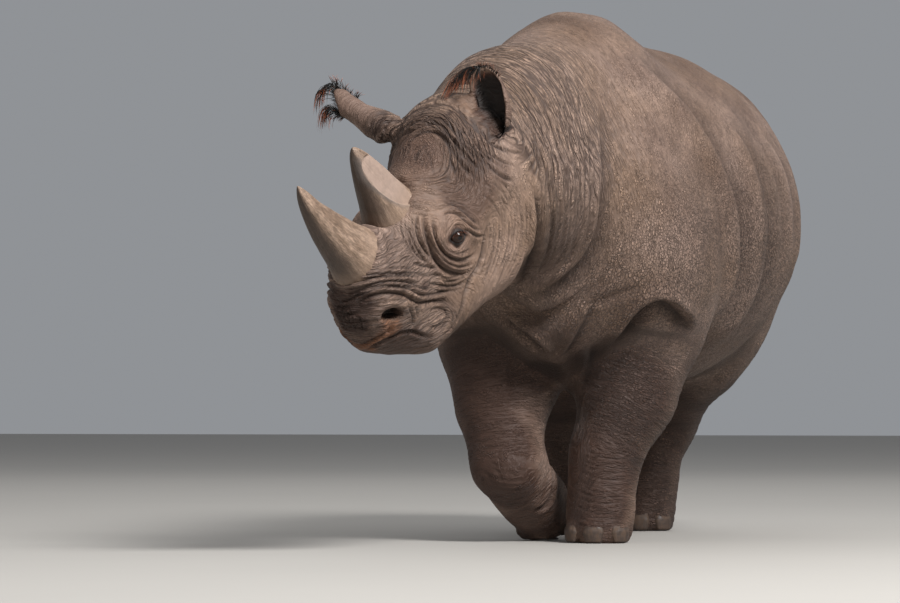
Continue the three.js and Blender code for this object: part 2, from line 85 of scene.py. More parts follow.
# ---------------------------------------------------------------- small tools
def only(obj):
    """Selects obj alone and makes it active."""
    if bpy.context.mode != "OBJECT":
        bpy.ops.object.mode_set(mode="OBJECT")
    bpy.ops.object.select_all(action="DESELECT")
    obj.select_set(True)
    bpy.context.view_layer.objects.active = obj
    return obj


def modified(obj, kind, **settings):
    """Adds a modifier with its settings and applies it."""
    only(obj)
    modifier = obj.modifiers.new(kind.title(), kind)
    for name, value in settings.items():
        setattr(modifier, name, value)
    bpy.ops.object.modifier_apply(modifier=modifier.name)
    return obj


def linked(name, data):
    """A new object in the scene."""
    obj = bpy.data.objects.new(name, data)
    bpy.context.scene.collection.objects.link(obj)
    return obj


def copied(name, *nodes):
    """One new object made of copies of CAD nodes, each closed by merging its doubles."""
    build = bmesh.new()
    for node in nodes:
        build.from_mesh(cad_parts[node].data)
    bmesh.ops.remove_doubles(build, verts=build.verts, dist=DOUBLES)
    mesh = bpy.data.meshes.new(name)
    build.to_mesh(mesh)
    build.free()
    return linked(name, mesh)


def finished(obj, material, slot, *nodes):
    """Gives a piece its material and its place in the frame."""
    obj.data.materials.clear()
    obj.data.materials.append(material)
    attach(obj, BODY)
    if nodes:
        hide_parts(*nodes)
    return obj


def ramp(x, low, high):
    """0 below low, 1 above high, smooth between."""
    t = np.clip((x - low) / (high - low), 0, 1)
    return t * t * (3 - 2 * t)


def lengths(rows):
    return np.linalg.norm(rows, axis=1)


def unit(way):
    return way / np.linalg.norm(way)


def bell(x, middle, half):
    """1 at the middle, falling off evenly on both sides."""
    return np.exp(-(((x - middle) / half) ** 2))


def noise(at, seed=0):
    """Smooth noise from -1 to 1 at each row of `at`, in as many dimensions as it has."""
    base = np.floor(at).astype(np.int64)
    part = at - base
    part = part * part * (3 - 2 * part)
    total = np.zeros(len(at))
    # Each corner of the grid has a number of its own, stirred out of its place by large primes.
    for corner in range(1 << at.shape[1]):
        code = np.full(len(at), seed * 7919 + 17, np.int64)
        share = np.ones(len(at))
        for axis in range(at.shape[1]):
            bit = corner >> axis & 1
            code = (code * 31 + base[:, axis] + bit) * 668265263 & 0x7FFFFFFF
            code ^= code >> 15
            share *= part[:, axis] if bit else 1 - part[:, axis]
        code = code * 1274126177 & 0x7FFFFFFF
        total += share * ((code >> 8 & 0xFFFF) / 32767.5 - 1)
    return total


# ---------------------------------------------------------------- head and view frames
def middle(node):
    low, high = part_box(node)
    return (low + high) / 2


def head_frame():
    """The head's frame: forward, up and left, from the middle of the brain case."""
    turn, nod = math.radians(HEAD_TURN), math.radians(HEAD_NOD)
    forward = Vector((-math.sin(turn) * math.cos(nod), -math.cos(turn) * math.cos(nod), -math.sin(nod)))
    left = (middle("left_eye") - middle("right_eye")).normalized()
    up = forward.cross(left).normalized()
    axes = np.array([forward, up, left])
    eyes = (middle("left_eye") + middle("right_eye")) / 2
    return axes, np.array(eyes) - EYE_FORWARD * axes[0] - EYE_UP * axes[1]


HEAD_AXES, HEAD_AT = head_frame()


def in_head(points):
    """Rows of forward, up and left, in metres."""
    return (np.asarray(points) - HEAD_AT) @ HEAD_AXES.T


def from_head(points):
    return np.asarray(points) @ HEAD_AXES + HEAD_AT


def view_frame():
    """The camera's place and turn."""
    across = Vector((math.cos(VIEW_AZIMUTH), math.sin(VIEW_AZIMUTH), 0))
    ahead = Vector((-math.sin(VIEW_AZIMUTH), math.cos(VIEW_AZIMUTH), 0))
    at = WITHERS - ahead * VIEW_DISTANCE + Vector((0, 0, VIEW_HEIGHT))
    right = VIEW_SIZE[0] / 2 - LEVEL_PIXEL[0]
    rise = LEVEL_PIXEL[1] - VIEW_SIZE[1] / 2
    aim = ahead * FOCAL_PIXELS + across * right + Vector((0, 0, rise))
    return Matrix.Translation(at) @ aim.to_track_quat("-Z", "Y").to_matrix().to_4x4()


VIEW = view_frame()


def sight(pixel):
    """The direction of sight through a place in the 900 x 603 view."""
    x = pixel[0] - VIEW_SIZE[0] / 2
    y = VIEW_SIZE[1] / 2 - pixel[1]
    return (VIEW.to_3x3() @ Vector((x, y, -FOCAL_PIXELS))).normalized()


# ---------------------------------------------------------------- a mesh as arrays
class Clay:
    """A mesh held as arrays while it is shaped."""

    def __init__(self, obj):
        self.obj = obj
        mesh = obj.data
        self.size = len(mesh.vertices)
        self.at = np.empty(self.size * 3)
        mesh.vertices.foreach_get("co", self.at)
        self.at = self.at.reshape(-1, 3)
        ends = np.empty(len(mesh.edges) * 2, np.int32)
        mesh.edges.foreach_get("vertices", ends)
        self.a, self.b = ends.reshape(-1, 2).T
        self.degree = np.bincount(ends, minlength=self.size)

    def blurred(self, values, rounds, weight=0.9):
        """Moves each vertex's values towards its neighbours' mean, as far as its weight, some rounds over."""
        weight = np.broadcast_to(weight, self.size)
        moving = weight > 0
        edges = moving[self.a] | moving[self.b]
        used, ends = np.unique(np.concatenate([self.a[edges], self.b[edges]]), return_inverse=True)
        a, b = np.split(ends, 2)
        share = weight[used] / self.degree[used]
        out = values.astype(float)
        columns = out.reshape(self.size, -1)
        for k in range(columns.shape[1]):
            column = columns[used, k]
            for _ in range(rounds):
                total = np.bincount(a, column[b], len(used)) + np.bincount(b, column[a], len(used))
                column = column * (1 - weight[used]) + share * total
            columns[used, k] = column
        return out

    def normals(self):
        self.write()
        out = np.empty(self.size * 3, np.float32)
        self.obj.data.vertex_normals.foreach_get("vector", out)
        return out.reshape(-1, 3).astype(float)

    def write(self):
        self.obj.data.vertices.foreach_set("co", self.at.astype(np.float32).ravel())
        self.obj.data.update()


def faced_out(obj, merge=None):
    """Turns a closed piece's faces outward, and merges its doubles first where a distance is given."""
    only(obj)
    bpy.ops.object.mode_set(mode="EDIT")
    bpy.ops.mesh.select_all(action="SELECT")
    if merge:
        bpy.ops.mesh.remove_doubles(threshold=merge)
    bpy.ops.mesh.normals_make_consistent(inside=False)
    bpy.ops.object.mode_set(mode="OBJECT")
    obj.data.shade_smooth()
    return obj


def tree_of(obj):
    mesh = obj.data
    return BVHTree.FromPolygons([v.co for v in mesh.vertices], [p.vertices for p in mesh.polygons])


def select_faces(obj, chosen):
    """Leaves exactly the chosen faces selected."""
    mesh = obj.data
    mesh.polygons.foreach_set("select", chosen)
    loops = np.empty(len(mesh.loops), np.int32)
    mesh.loops.foreach_get("vertex_index", loops)
    totals = np.empty(len(mesh.polygons), np.int32)
    mesh.polygons.foreach_get("loop_total", totals)
    on = np.zeros(len(mesh.vertices), bool)
    on[loops[np.repeat(chosen, totals)]] = True
    mesh.vertices.foreach_set("select", on)
    ends = np.empty(len(mesh.edges) * 2, np.int32)
    mesh.edges.foreach_get("vertices", ends)
    ends = ends.reshape(-1, 2)
    mesh.edges.foreach_set("select", on[ends[:, 0]] & on[ends[:, 1]])


def centres(obj):
    out = np.empty(len(obj.data.polygons) * 3, np.float32)
    obj.data.polygons.foreach_get("center", out)
    return out.reshape(-1, 3)


def refined(obj, wanted):
    """Splits each face that `wanted` picks by its centre into four."""
    only(obj)
    select_faces(obj, wanted(centres(obj)))
    bpy.ops.object.mode_set(mode="EDIT")
    bpy.ops.mesh.select_mode(type="FACE")
    bpy.ops.mesh.subdivide(number_cuts=1)
    bpy.ops.object.mode_set(mode="OBJECT")
    return obj


# ---------------------------------------------------------------- where things are on her
# A horn's base forward and up in the head's frame, its lean forward, and its shape, in mm and degrees.
HORNS = {
    "front_horn": dict(at=(530, 88), lean=26, height=330, half=(66, 80), sweep=-50, blunt=0.8),
    "rear_horn": dict(at=(342, 92), lean=8, height=246, half=(66, 85), sweep=4, blunt=0.72),
}


def horn_axes(name):
    """A horn's base, and its own right, forward and up directions."""
    lean = math.radians(HORNS[name]["lean"])
    up = np.array((math.sin(lean), math.cos(lean), 0)) @ HEAD_AXES
    forward = np.array((math.cos(lean), -math.sin(lean), 0)) @ HEAD_AXES
    return from_head(np.array((*HORNS[name]["at"], 0)) * MM), np.array([-HEAD_AXES[2], forward, up])


EARS = {
    "left_ear": {"root": (-8, -872, 1105), "tip": (-32, -935, 1322), "opens": (-0.2, -0.97, 0.1)},
    "right_ear": {"root": (-272, -900, 1144), "tip": (-462, -890, 1262), "opens": (-0.75, 0.6, 0.25)},
}
# Each leg's middle line from the top down: its place at some heights.
LEGS = {
    "left_fore": [
        (235, -30, 800), (215, 20, 620), (165, -25, 420), (104, -62, 250), (95, -75, 120), (95, -90, 0)
    ],
    "right_fore": [
        (-232, -80, 800), (-245, -50, 600), (-202, -100, 400), (-166, -140, 228), (-132, -35, 140),
        (-105, 45, 60),
    ],
    "left_hind": [
        (165, 1150, 880), (135, 1080, 660), (98, 1085, 560), (35, 1120, 460), (8, 1150, 350), (-32, 1105, 150),
        (-40, 1075, 0),
    ],
    "right_hind": [
        (-255, 1130, 880), (-270, 980, 660), (-280, 940, 560), (-285, 945, 460), (-290, 970, 350),
        (-290, 890, 150), (-290, 855, 0),
    ],
}
# How far the coarse facets are smoothed away in each region, as a spread in metres.
SPREAD = {
    "trunk": 0.047, "neck": 0.036, "head": 0.015, "ear": 0.006, "upper_leg": 0.03, "lower_leg": 0.022,
    "foot": 0.012, "tail": 0.008,
}
SKIN_CELL = 7 * MM
SMOOTH_ROUNDS = 90
# The crease between her left fore leg and the chest is smoothed away, before the real folds are pressed in.
ARMPIT_CREASE = [(598, 346), (615, 338), (632, 332), (655, 330), (675, 331), (690, 333)]
ARMPIT_ROUNDS = 220
ARMPIT_REACH = (45 * MM, 150 * MM)
THROAT = (-16, -390, 680)  # where the folds of both sides meet, and are rounded off
THROAT_ROUNDS = 120
THROAT_REACH = (45 * MM, 100 * MM)
HORN_ROOT_UP = 4 * MM  # how far the root that fills a horn's pocket stands out of it
HORN_ROOT_SCALE = 1.04


def placed(millimetres):
    """A point given in millimetres from the floor under the withers."""
    return np.array(millimetres, float) * MM + np.array(WITHERS)


def nearest_node(points, names):
    """For each point, the index in `names` of the CAD node that it lies nearest to."""
    corners, faces, owner = [], [], []
    for index, name in enumerate(names):
        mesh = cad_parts[name].data
        start = len(corners)
        corners += [v.co for v in mesh.vertices]
        faces += [[start + i for i in p.vertices] for p in mesh.polygons]
        owner += [index] * len(mesh.polygons)
    tree = BVHTree.FromPolygons(corners, faces)
    return np.array([owner[tree.find_nearest(Vector(p))[2]] for p in points])


def region_of(name):
    for region in ("ear", "upper_leg", "lower_leg", "foot"):
        if name.endswith(region):
            return region
    return name


def rough_skin():
    """One closed skin over all the flesh, with the coarse facets smoothed away."""
    skin = copied("skin", *HIDE_NODES, *NAIL_NODES)
    for name in HORNS:
        add_horn_root(skin, name)
    modified(skin, "REMESH", mode="VOXEL", voxel_size=SKIN_CELL)
    drop_specks(skin)
    clay = Clay(skin)
    owner = nearest_node(clay.at, HIDE_NODES)
    spread = np.array([SPREAD[region_of(name)] for name in HIDE_NODES])[owner]
    spread = clay.blurred(spread, 12)
    weight = 2 * spread**2 / SKIN_CELL**2 / SMOOTH_ROUNDS
    once = clay.blurred(clay.at, SMOOTH_ROUNDS, weight)
    twice = clay.blurred(once, SMOOTH_ROUNDS, weight)
    clay.at = 2 * once - twice
    clay.write()
    line = on_skin(tree_of(skin), curve_through(ARMPIT_CREASE))[0][::4]
    gaps = farness(clay.at, line)
    clay.at = clay.blurred(clay.at, ARMPIT_ROUNDS, 0.95 * (1 - ramp(gaps, *ARMPIT_REACH)))
    clay.at[:, 2] = np.maximum(clay.at[:, 2], 0)
    clay.write()
    return skin


def add_horn_root(skin, name):
    """Fills the pocket under a horn with the horn's own root."""
    root = copied("horn_root", name)
    base, axes = horn_axes(name)
    build = bmesh.new()
    build.from_mesh(root.data)
    cut = base + HORN_ROOT_UP * axes[2]
    everything = build.verts[:] + build.edges[:] + build.faces[:]
    bmesh.ops.bisect_plane(build, geom=everything, plane_co=cut, plane_no=axes[2], clear_outer=True)
    bmesh.ops.contextual_create(build, geom=[e for e in build.edges if e.is_boundary])
    scale, about = Vector.Fill(3, HORN_ROOT_SCALE), Matrix.Translation(-Vector(base))
    bmesh.ops.scale(build, vec=scale, space=about, verts=build.verts)
    build.to_mesh(root.data)
    build.free()
    only(skin)
    root.select_set(True)
    bpy.ops.object.join()


def drop_specks(obj):
    """Removes the small closed bits that the remesh leaves in the gaps between nodes."""
    clay = Clay(obj)
    label = np.arange(clay.size)
    while True:
        least = np.minimum(label[clay.a], label[clay.b])
        spread = label.copy()
        np.minimum.at(spread, clay.a, least)
        np.minimum.at(spread, clay.b, least)
        spread = spread[spread]
        if (spread == label).all():
            break
        label = spread
    main = np.bincount(label).argmax()
    build = bmesh.new()
    build.from_mesh(obj.data)
    build.verts.ensure_lookup_table()
    bmesh.ops.delete(build, geom=[build.verts[i] for i in np.flatnonzero(label != main)], context="VERTS")
    build.to_mesh(obj.data)
    build.free()


# ---------------------------------------------------------------- folds
def fold(depth, width, *through, **more):
    """A fold's depth and width, its places, and what else is known of it."""
    return {"depth": depth, "width": width, "through": through, **more}


# Each fold is a line of places in the 900 x 603 view, which are carried to the skin that lies behind them.
# Depth and width are in mm. A fold is mirrored to her other side unless `both` is false, and an `arc` is
# smoothed to one even bow. Each fold's crease is darkened with dust and painted shade, a `soft` one less. With
# step 1 the skin on the left of the line, as seen from outside, hangs over the right, and with -1 the other
# way; `under` is how far the lower side is sunk, and how far the painted shade reaches on it.
FOLDS = {
    # the lids and the bags round the eye
    "brow_fold": fold(5, 5, (444, 203), (454, 205), (464, 212), (473, 220), (482, 227)),
    "lid_fold": fold(5, 4, (440, 219), (447, 213), (456, 214), (465, 221), (474, 228), (484, 231)),
    "outer_corner": fold(6, 4, (463, 229), (470, 232), (477, 236), (484, 236)),
    "lower_lid_fold": fold(3, 3.5, (447, 248), (453, 252), (461, 253), (469, 249), (473, 241)),
    "eye_bag_1": fold(
        8, 5, (434, 213), (433, 225), (436, 238), (441, 249), (449, 257), (459, 260), (470, 257), (479, 251)
    ),
    "eye_bag_2": fold(
        11, 6, (424, 208), (424, 222), (427, 237), (432, 252), (439, 265), (449, 272), (462, 274), (475, 271)
    ),
    "eye_bag_3": fold(7, 5, (418, 212), (416, 226), (419, 240), (425, 251), (434, 262)),
    "eye_bag_4": fold(4, 5, (408, 236), (412, 247), (419, 257), (428, 264)),
    "behind_eye": fold(
        8, 6, (490, 221), (486, 231), (484, 243), (482, 255), (477, 268), (470, 279), (465, 293), (462, 305)
    ),
    # the muzzle
    "muzzle_1": fold(
        8, 5, (330, 283), (343, 283), (356, 281), (370, 279), (385, 276), (400, 275), (412, 276), (424, 278)
    ),
    "muzzle_2": fold(6, 5, (350, 292), (362, 288), (376, 284), (392, 281), (406, 282), (418, 286), (430, 290)),
    "muzzle_3": fold(
        7, 5, (372, 289), (386, 287), (400, 287), (412, 290), (421, 295), (434, 294), (447, 291), (461, 290)
    ),
    "nostril_arch": fold(
        10, 6, (354, 315), (358, 306), (366, 298), (378, 294), (392, 293), (404, 295), (413, 300), (421, 303),
        (433, 301), (445, 301), (453, 306), (455, 314),
    ),
    "muzzle_5": fold(7, 5, (328, 300), (334, 308), (342, 314), (351, 315), (359, 311)),
    "muzzle_6": fold(4, 4, (336, 300), (346, 300), (356, 297)),
    "lip_1": fold(4, 4, (340, 321), (350, 321), (360, 320), (368, 323)),
    "lip_2": fold(4, 4, (340, 328), (352, 327), (362, 328), (371, 331)),
    "cheek_1": fold(4, 4, (386, 269), (396, 268), (406, 268), (416, 270)),
    "cheek_2": fold(5, 4, (411, 262), (419, 265), (428, 267), (437, 268)),
    "cheek_3": fold(4, 4, (415, 274), (424, 276), (434, 275), (442, 274)),
    "cheek_4": fold(5, 4, (422, 282), (433, 284), (446, 286), (459, 285), (467, 279)),
    "nostril_channel": fold(6, 6, (389, 315), (391, 321), (390, 328), (386, 334), soft=0.25),
    "nostril_side_1": fold(5, 4, (405, 303), (410, 310), (413, 318), (412, 327)),
    "nostril_side_2": fold(4, 4, (411, 302), (416, 309), (418, 318)),
    "mouth_swirl": fold(4, 4, (427, 310), (437, 307), (446, 311), (445, 319), (436, 326), (426, 327)),
    "mouth": fold(
        9, 5, (364, 352), (373, 346), (383, 341), (393, 336), (402, 332), (411, 331), (420, 334), (430, 339)
    ),
    "lip_edge": fold(5, 4, (336, 334), (342, 341), (350, 345), (360, 345), (370, 341), (380, 336), (389, 331)),
    "mouth_corner_1": fold(5, 5, (465, 293), (462, 306), (457, 318), (450, 329), (441, 337)),
    "mouth_corner_2": fold(3, 4, (474, 296), (469, 309), (463, 321), (455, 332)),
    # the forehead
    "forehead_1": fold(
        5, 5, (386, 160), (391, 147), (400, 134), (412, 124), (425, 119), (437, 118), (446, 122), (454, 131),
        (463, 144), (474, 156), (488, 167),
    ),
    "forehead_2": fold(
        6, 5, (394, 160), (398, 148), (406, 137), (416, 129), (427, 125), (437, 124), (445, 129), (452, 138),
        (461, 152), (472, 164), (488, 176),
    ),
    "forehead_3": fold(
        5, 5, (402, 160), (404, 150), (411, 140), (420, 133), (430, 131), (439, 135), (447, 144), (455, 155),
        (465, 169), (479, 181),
    ),
    "forehead_crack": fold(3, 3, (424, 143), (425, 151), (430, 158), (432, 167), (434, 175), both=False),
    "forehead_dent": fold(5, 6, (418, 150), (414, 160), both=False),
    # round the ear, and the jaw against the neck
    "ear_root_1": fold(6, 5, (478, 118), (481, 129), (487, 139), (495, 146), (505, 151), (514, 157)),
    "ear_root_2": fold(6, 5, (486, 163), (496, 172), (506, 179), (515, 181)),
    "ear_root_3": fold(4, 4, (484, 150), (494, 157), (505, 163), (516, 166)),
    "ear_root_4": fold(4, 4, (501, 146), (508, 150), (515, 153), (521, 152)),
    "ear_root_5": fold(4, 4, (468, 122), (471, 135), (478, 147), (487, 157), (498, 166)),
    "ear_base": fold(6, 5, (396, 115), (389, 122), (384, 131), (381, 141), (380, 149), both=False),
    "ear_ring_1": fold(3.5, 3, (387, 113), (380, 122), (376, 131), (374, 138), both=False),
    "ear_ring_2": fold(3, 3, (381, 111), (374, 120), (370, 128), (368, 134), both=False),
    "ear_ring_3": fold(2.5, 3, (375, 109), (368, 118), (364, 126), (362, 130), both=False),
    "jaw_edge": fold(15, 13, (533, 187), (539, 205), (539, 225), (534, 250), (524, 274), (512, 291)),
    # the shoulder, the ribs and the belly
    "shoulder_edge": fold(
        38, 30, (630, 46), (645, 61), (662, 79), (682, 102), (699, 126), (714, 151), (726, 178), (734, 205),
        (737, 230), (736, 258), (730, 285), (720, 310), (706, 335), under=120, step=-1, soft=0.8,
    ),
    "rib_fold_1": fold(
        18, 28, (728, 112), (745, 142), (758, 175), (766, 210), (768, 245), (763, 280), (752, 305), (733, 332),
        (714, 352), under=95, step=-1, soft=0.65, arc=True,
    ),
    "neck_ring": fold(
        22, 15, (604, 96), (601, 130), (602, 165), (601, 200), (596, 232), (584, 258), (564, 279), (542, 291),
        (518, 299), under=55, step=-1, soft=0.85,
    ),
    "armpit": fold(
        26, 12, (608, 352), (618, 340), (628, 327), (637, 315), (647, 306), (657, 302), (668, 305), (678, 313),
        (687, 323), (694, 336), under=32, step=1, both=False,
    ),
    "arm_front": fold(8, 10, (592, 345), (590, 360), (586, 375), (581, 390), step=-1, both=False),
    "brisket_left": fold(
        12, 8, (594, 298), (587, 316), (578, 334), (569, 349), (560, 361), step=-1, both=False
    ),
    "brisket_right": fold(
        16, 9, (500, 314), (515, 326), (530, 338), (541, 348), (547, 358), step=1, both=False
    ),
    "elbow_skin": fold(7, 12, (585, 308), (600, 301), (616, 296), (632, 290), (645, 284), soft=0.2, both=False),
    "wrist_tuck": fold(12, 7, (549, 462), (553, 478), (552, 494), (545, 506), (532, 513), both=False),
    "fore_leg_inside": fold(
        5, 16, (628, 345), (618, 365), (603, 388), (588, 408), (578, 428), soft=0.3, both=False
    ),
}


def family(count, depth, width, first, last, **more):
    """Many like folds: how many, their depth and width, the first line and the last, and the rest."""
    return {"count": count, "depth": depth, "width": width, "first": first, "last": last, **more}


# Families of folds: each runs from the first line to the last, with `count` lines spread between them.
FOLD_FAMILIES = {
    "forehead": family(
        6, 3.4, 3.2, [(384, 163), (391, 143), (408, 125), (437, 113), (462, 126), (490, 152), (507, 166)],
        [(404, 158), (409, 146), (420, 138), (436, 137), (449, 150), (468, 174), (488, 188)],
    ),
    "behind_brow": family(
        5, 2.8, 3, [(482, 166), (500, 176), (512, 190), (518, 206)],
        [(470, 190), (486, 200), (497, 214), (501, 232)],
    ),
    "cheek": family(
        14, 3.2, 3, [(486, 208), (489, 234), (484, 262), (472, 296)],
        [(528, 186), (531, 222), (526, 254), (510, 282)],
    ),
    "behind_ear": family(
        6, 4.5, 4.5, [(515, 92), (532, 112), (548, 140), (556, 172)],
        [(514, 130), (524, 146), (531, 164), (536, 186)],
    ),
    "neck": family(
        13, 6, 5, [(524, 120), (541, 165), (548, 205), (547, 240), (538, 268), (524, 288)],
        [(578, 84), (592, 130), (594, 178), (592, 215), (583, 245), (566, 269)], soft=0.65,
    ),
    "ribs": family(
        6, 7.5, 24, [(700, 88), (728, 125), (748, 165), (757, 210), (755, 255), (745, 300)],
        [(745, 108), (772, 140), (790, 175), (799, 215), (796, 250), (785, 285)], under=60, step=-1, soft=0.5,
        arc=True,
    ),
    "shoulder": family(
        4, 3.5, 14, [(640, 120), (668, 150), (690, 190), (700, 230), (700, 262)],
        [(690, 140), (712, 180), (722, 220), (723, 256), (716, 286)], soft=0.3, both=False,
    ),
    "left_wrist": family(
        16, 1.8, 3.5, [(578, 440), (600, 449), (622, 452), (640, 444)],
        [(570, 522), (590, 530), (612, 530), (631, 523)], both=False,
    ),
    "right_wrist": family(
        9, 1.3, 4, [(468, 436), (490, 448), (512, 450), (532, 442)],
        [(486, 497), (504, 506), (522, 507), (538, 500)], both=False,
    ),
    "muzzle": family(
        5, 5, 3, [(327, 279), (348, 277), (378, 273), (408, 271), (436, 273)],
        [(333, 304), (354, 299), (380, 290), (408, 291), (440, 298)],
    ),
    "snout": family(6, 5, 3, [(330, 296), (341, 298), (354, 296)], [(336, 329), (349, 333), (364, 333)]),
    "snout_front": family(
        5, 4, 2.6, [(332, 294), (335, 310), (339, 326)], [(358, 312), (362, 324), (366, 336)]
    ),
    "swirl": family(
        4, 4, 3, [(417, 304), (433, 300), (450, 304), (458, 314), (455, 328), (444, 338)],
        [(430, 313), (438, 311), (445, 315), (443, 322), (437, 327), (429, 329)],
    ),
    "under_eye": family(
        6, 4, 2.5, [(421, 208), (420, 226), (425, 246), (440, 268), (462, 276), (482, 268)],
        [(441, 222), (441, 236), (448, 249), (460, 253), (470, 249)],
    ),
    "above_eye": family(
        4, 3, 2.4, [(437, 205), (450, 201), (465, 206), (480, 217)],
        [(443, 218), (451, 213), (461, 216), (471, 224)],
    ),
    "before_eye": family(
        4, 3, 2.5, [(398, 214), (401, 232), (410, 252), (424, 270)],
        [(415, 208), (413, 226), (418, 244), (430, 262)],
    ),
    "lower_cheek": family(
        5, 3, 2.6, [(430, 272), (448, 276), (466, 272), (480, 256)],
        [(424, 290), (446, 294), (462, 288), (474, 276)],
    ),
    "boss": family(
        5, 3, 2.2, [(407, 172), (409, 155), (418, 144), (428, 141)],
        [(428, 178), (430, 164), (436, 154), (444, 152)],
    ),
    "hock": family(
        9, 3.4, 4, [(650, 440), (668, 444), (686, 436)], [(637, 516), (654, 521), (671, 515)], both=False
    ),
}
FAMILY_STEPS = 16  # places along each line of a family


def family_folds():
    """The single folds of all the families, each a little off its even place, depth and length."""
    chance = np.random.default_rng(7)
    out = []
    for kin in FOLD_FAMILIES.values():
        first, last = (smooth_path(kin[key], FAMILY_STEPS) for key in ("first", "last"))
        for i in range(kin["count"]):
            share = (i + chance.uniform(0.2, 0.8)) / kin["count"]
            wander = np.cumsum(chance.normal(0, 0.5, FAMILY_STEPS))[:, None] * (0.5, 0.5)
            line = first + (last - first) * share + wander - wander.mean(0)
            start, end = chance.integers(0, 4), FAMILY_STEPS - chance.integers(0, 4)
            depth = kin["depth"] * chance.uniform(0.6, 1.25)
            out.append({**kin, "depth": depth, "through": line[start:end]})
    return out


def as_arc(tree, path):
    """The same line, its place along her body smoothed to one even arc, carried back to the skin."""
    even = path.copy()
    even[:, 1] = np.polyval(np.polyfit(path[:, 2], path[:, 1], 2), path[:, 2])
    near = [tree.find_nearest(Vector(p)) for p in even]
    return np.array([n[0] for n in near]), np.array([n[1] for n in near])


def with_ends(places):
    """The places, and one more beyond each end."""
    p = np.array(places, float)
    return np.vstack([2 * p[0] - p[1], p, 2 * p[-1] - p[-2]])


def between(a, b, c, d, t):
    """A place on the smooth curve from b to c, as part t of the way, where a comes before and d after."""
    return 0.5 * (2 * b + (c - a) * t + (2 * a - 5 * b + 4 * c - d) * t**2 + (3 * b - a - 3 * c + d) * t**3)


def curve_through(places):
    """Places about two pixels apart on a smooth curve through the given ones."""
    p = with_ends(places)
    out = []
    for a, b, c, d in zip(p, p[1:], p[2:], p[3:]):
        for t in np.arange(0, 1, 2 / max(np.linalg.norm(c - b), 2)):
            out.append(between(a, b, c, d, t))
    return out + [p[-2]]


def on_skin(tree, places):
    """Where the lines of sight through the places first meet the skin, and which way the skin faces there."""
    hits = [tree.ray_cast(VIEW.translation, sight(place)) for place in places]
    points = np.array([hit[0] for hit in hits if hit[0]])
    facing = np.array([hit[1] for hit in hits if hit[0]])
    return points, facing


def midline(points):
    """How far to her left of her own midline each point lies. The midline bends with her neck."""
    return points[:, 0] - np.interp(points[:, 1], (HEAD_AT[1], NECK_ROOT), (HEAD_AT[0], WITHERS.x))


def mirrored(tree, points, in_frame):
    """The same points on her other side, carried to the skin there."""
    if in_frame == "head":
        other = from_head(in_head(points) * (1, 1, -1))
    else:
        other = points - 2 * midline(points)[:, None] * (1, 0, 0)
    near = [tree.find_nearest(Vector(p)) for p in other]
    return np.array([n[0] for n in near]), np.array([n[1] for n in near])


DARK_DEPTH = 5 * MM  # a fold at least this deep is fully dark
PUSH_LIMITS = (-36 * MM, 30 * MM)  # how far all the folds together may move the skin
# A fold's section: heights are parts of its depth, and places are in its own widths from its line. A plain fold
# is a valley between two lips. With a step, the upper side bulges over the line, and the lower side is sunk.
LIP_HEIGHT, LIP_OFF, LIP_HALF = 0.45, 2.1, 1.1
BULGE_HEIGHT, BULGE_OFF, BULGE_HALF = 0.75, 1.9, 1.5
TUCK, TUCK_HALF = 0.8, 0.8
SUNK = 0.8
FADE = (-0.02, 0.22)  # how a fold fades out at each end, as parts of its length


def pressed(clay, facing, path, path_facing, depth, width, step=0, under=0):
    """How far a fold along the path pushes each vertex, and how deep in its crease the vertex lies.

    With a step, the skin on one side of the path hangs over the other, which is sunk as far as `under`."""
    under = under or 2 * width
    reach = max(6 * width, 2.5 * under)
    near = ((clay.at > path.min(0) - reach) & (clay.at < path.max(0) + reach)).all(1)
    near = np.flatnonzero(near)
    push, crease = np.zeros(clay.size), np.zeros(clay.size)
    if not len(near) or len(path) < 4:
        return push, crease
    best = np.full(len(near), np.inf)
    which = np.zeros(len(near), int)
    for start in range(0, len(path), 24):
        gaps = np.linalg.norm(clay.at[near][:, None] - path[None, start : start + 24], axis=2)
        least = gaps.min(1)
        closer = least < best
        which[closer] = start + gaps.argmin(1)[closer]
        best = np.minimum(best, least)
    way = np.gradient(path, axis=0)
    spacing = lengths(way) + 1e-9
    way /= spacing[:, None]
    offset = clay.at[near] - path[which]
    slide = (offset * way[which]).sum(1)
    slide = np.clip(slide, -spacing[which], spacing[which])
    best = lengths(offset - slide[:, None] * way[which])
    same_side = (facing[near] * path_facing[which]).sum(1) > -0.1
    along = (which + slide / spacing[which]) / (len(path) - 1)
    strength = same_side * ramp(along, *FADE) * ramp(1 - along, *FADE)
    x = best / width
    valley = np.exp(-(x**1.4))
    lips = LIP_HEIGHT * bell(x, LIP_OFF, LIP_HALF)
    shape = lips - valley
    if step:
        raised = (offset * np.cross(path_facing, way)[which]).sum(1) * step > 0
        over = BULGE_HEIGHT * bell(x, BULGE_OFF, BULGE_HALF) - TUCK * bell(x, 0, TUCK_HALF)
        sunk = -SUNK * np.exp(-((best / under) ** 1.5))
        shape = np.where(raised, over, sunk)
    push[near] = strength * depth * shape
    # The crease is dust and painted shade: along a plain fold's valley, and with a step mostly on the sunk side
    # below the overhang, where shade falls.
    dark_half = np.full(len(near), max(0.75 * width, 3 * MM))
    if step:
        dark_half = np.where(raised, 0.3 * width, 0.8 * under)
    crease[near] = strength * bell(best, 0, dark_half) * min(1, depth / DARK_DEPTH)
    return push, crease


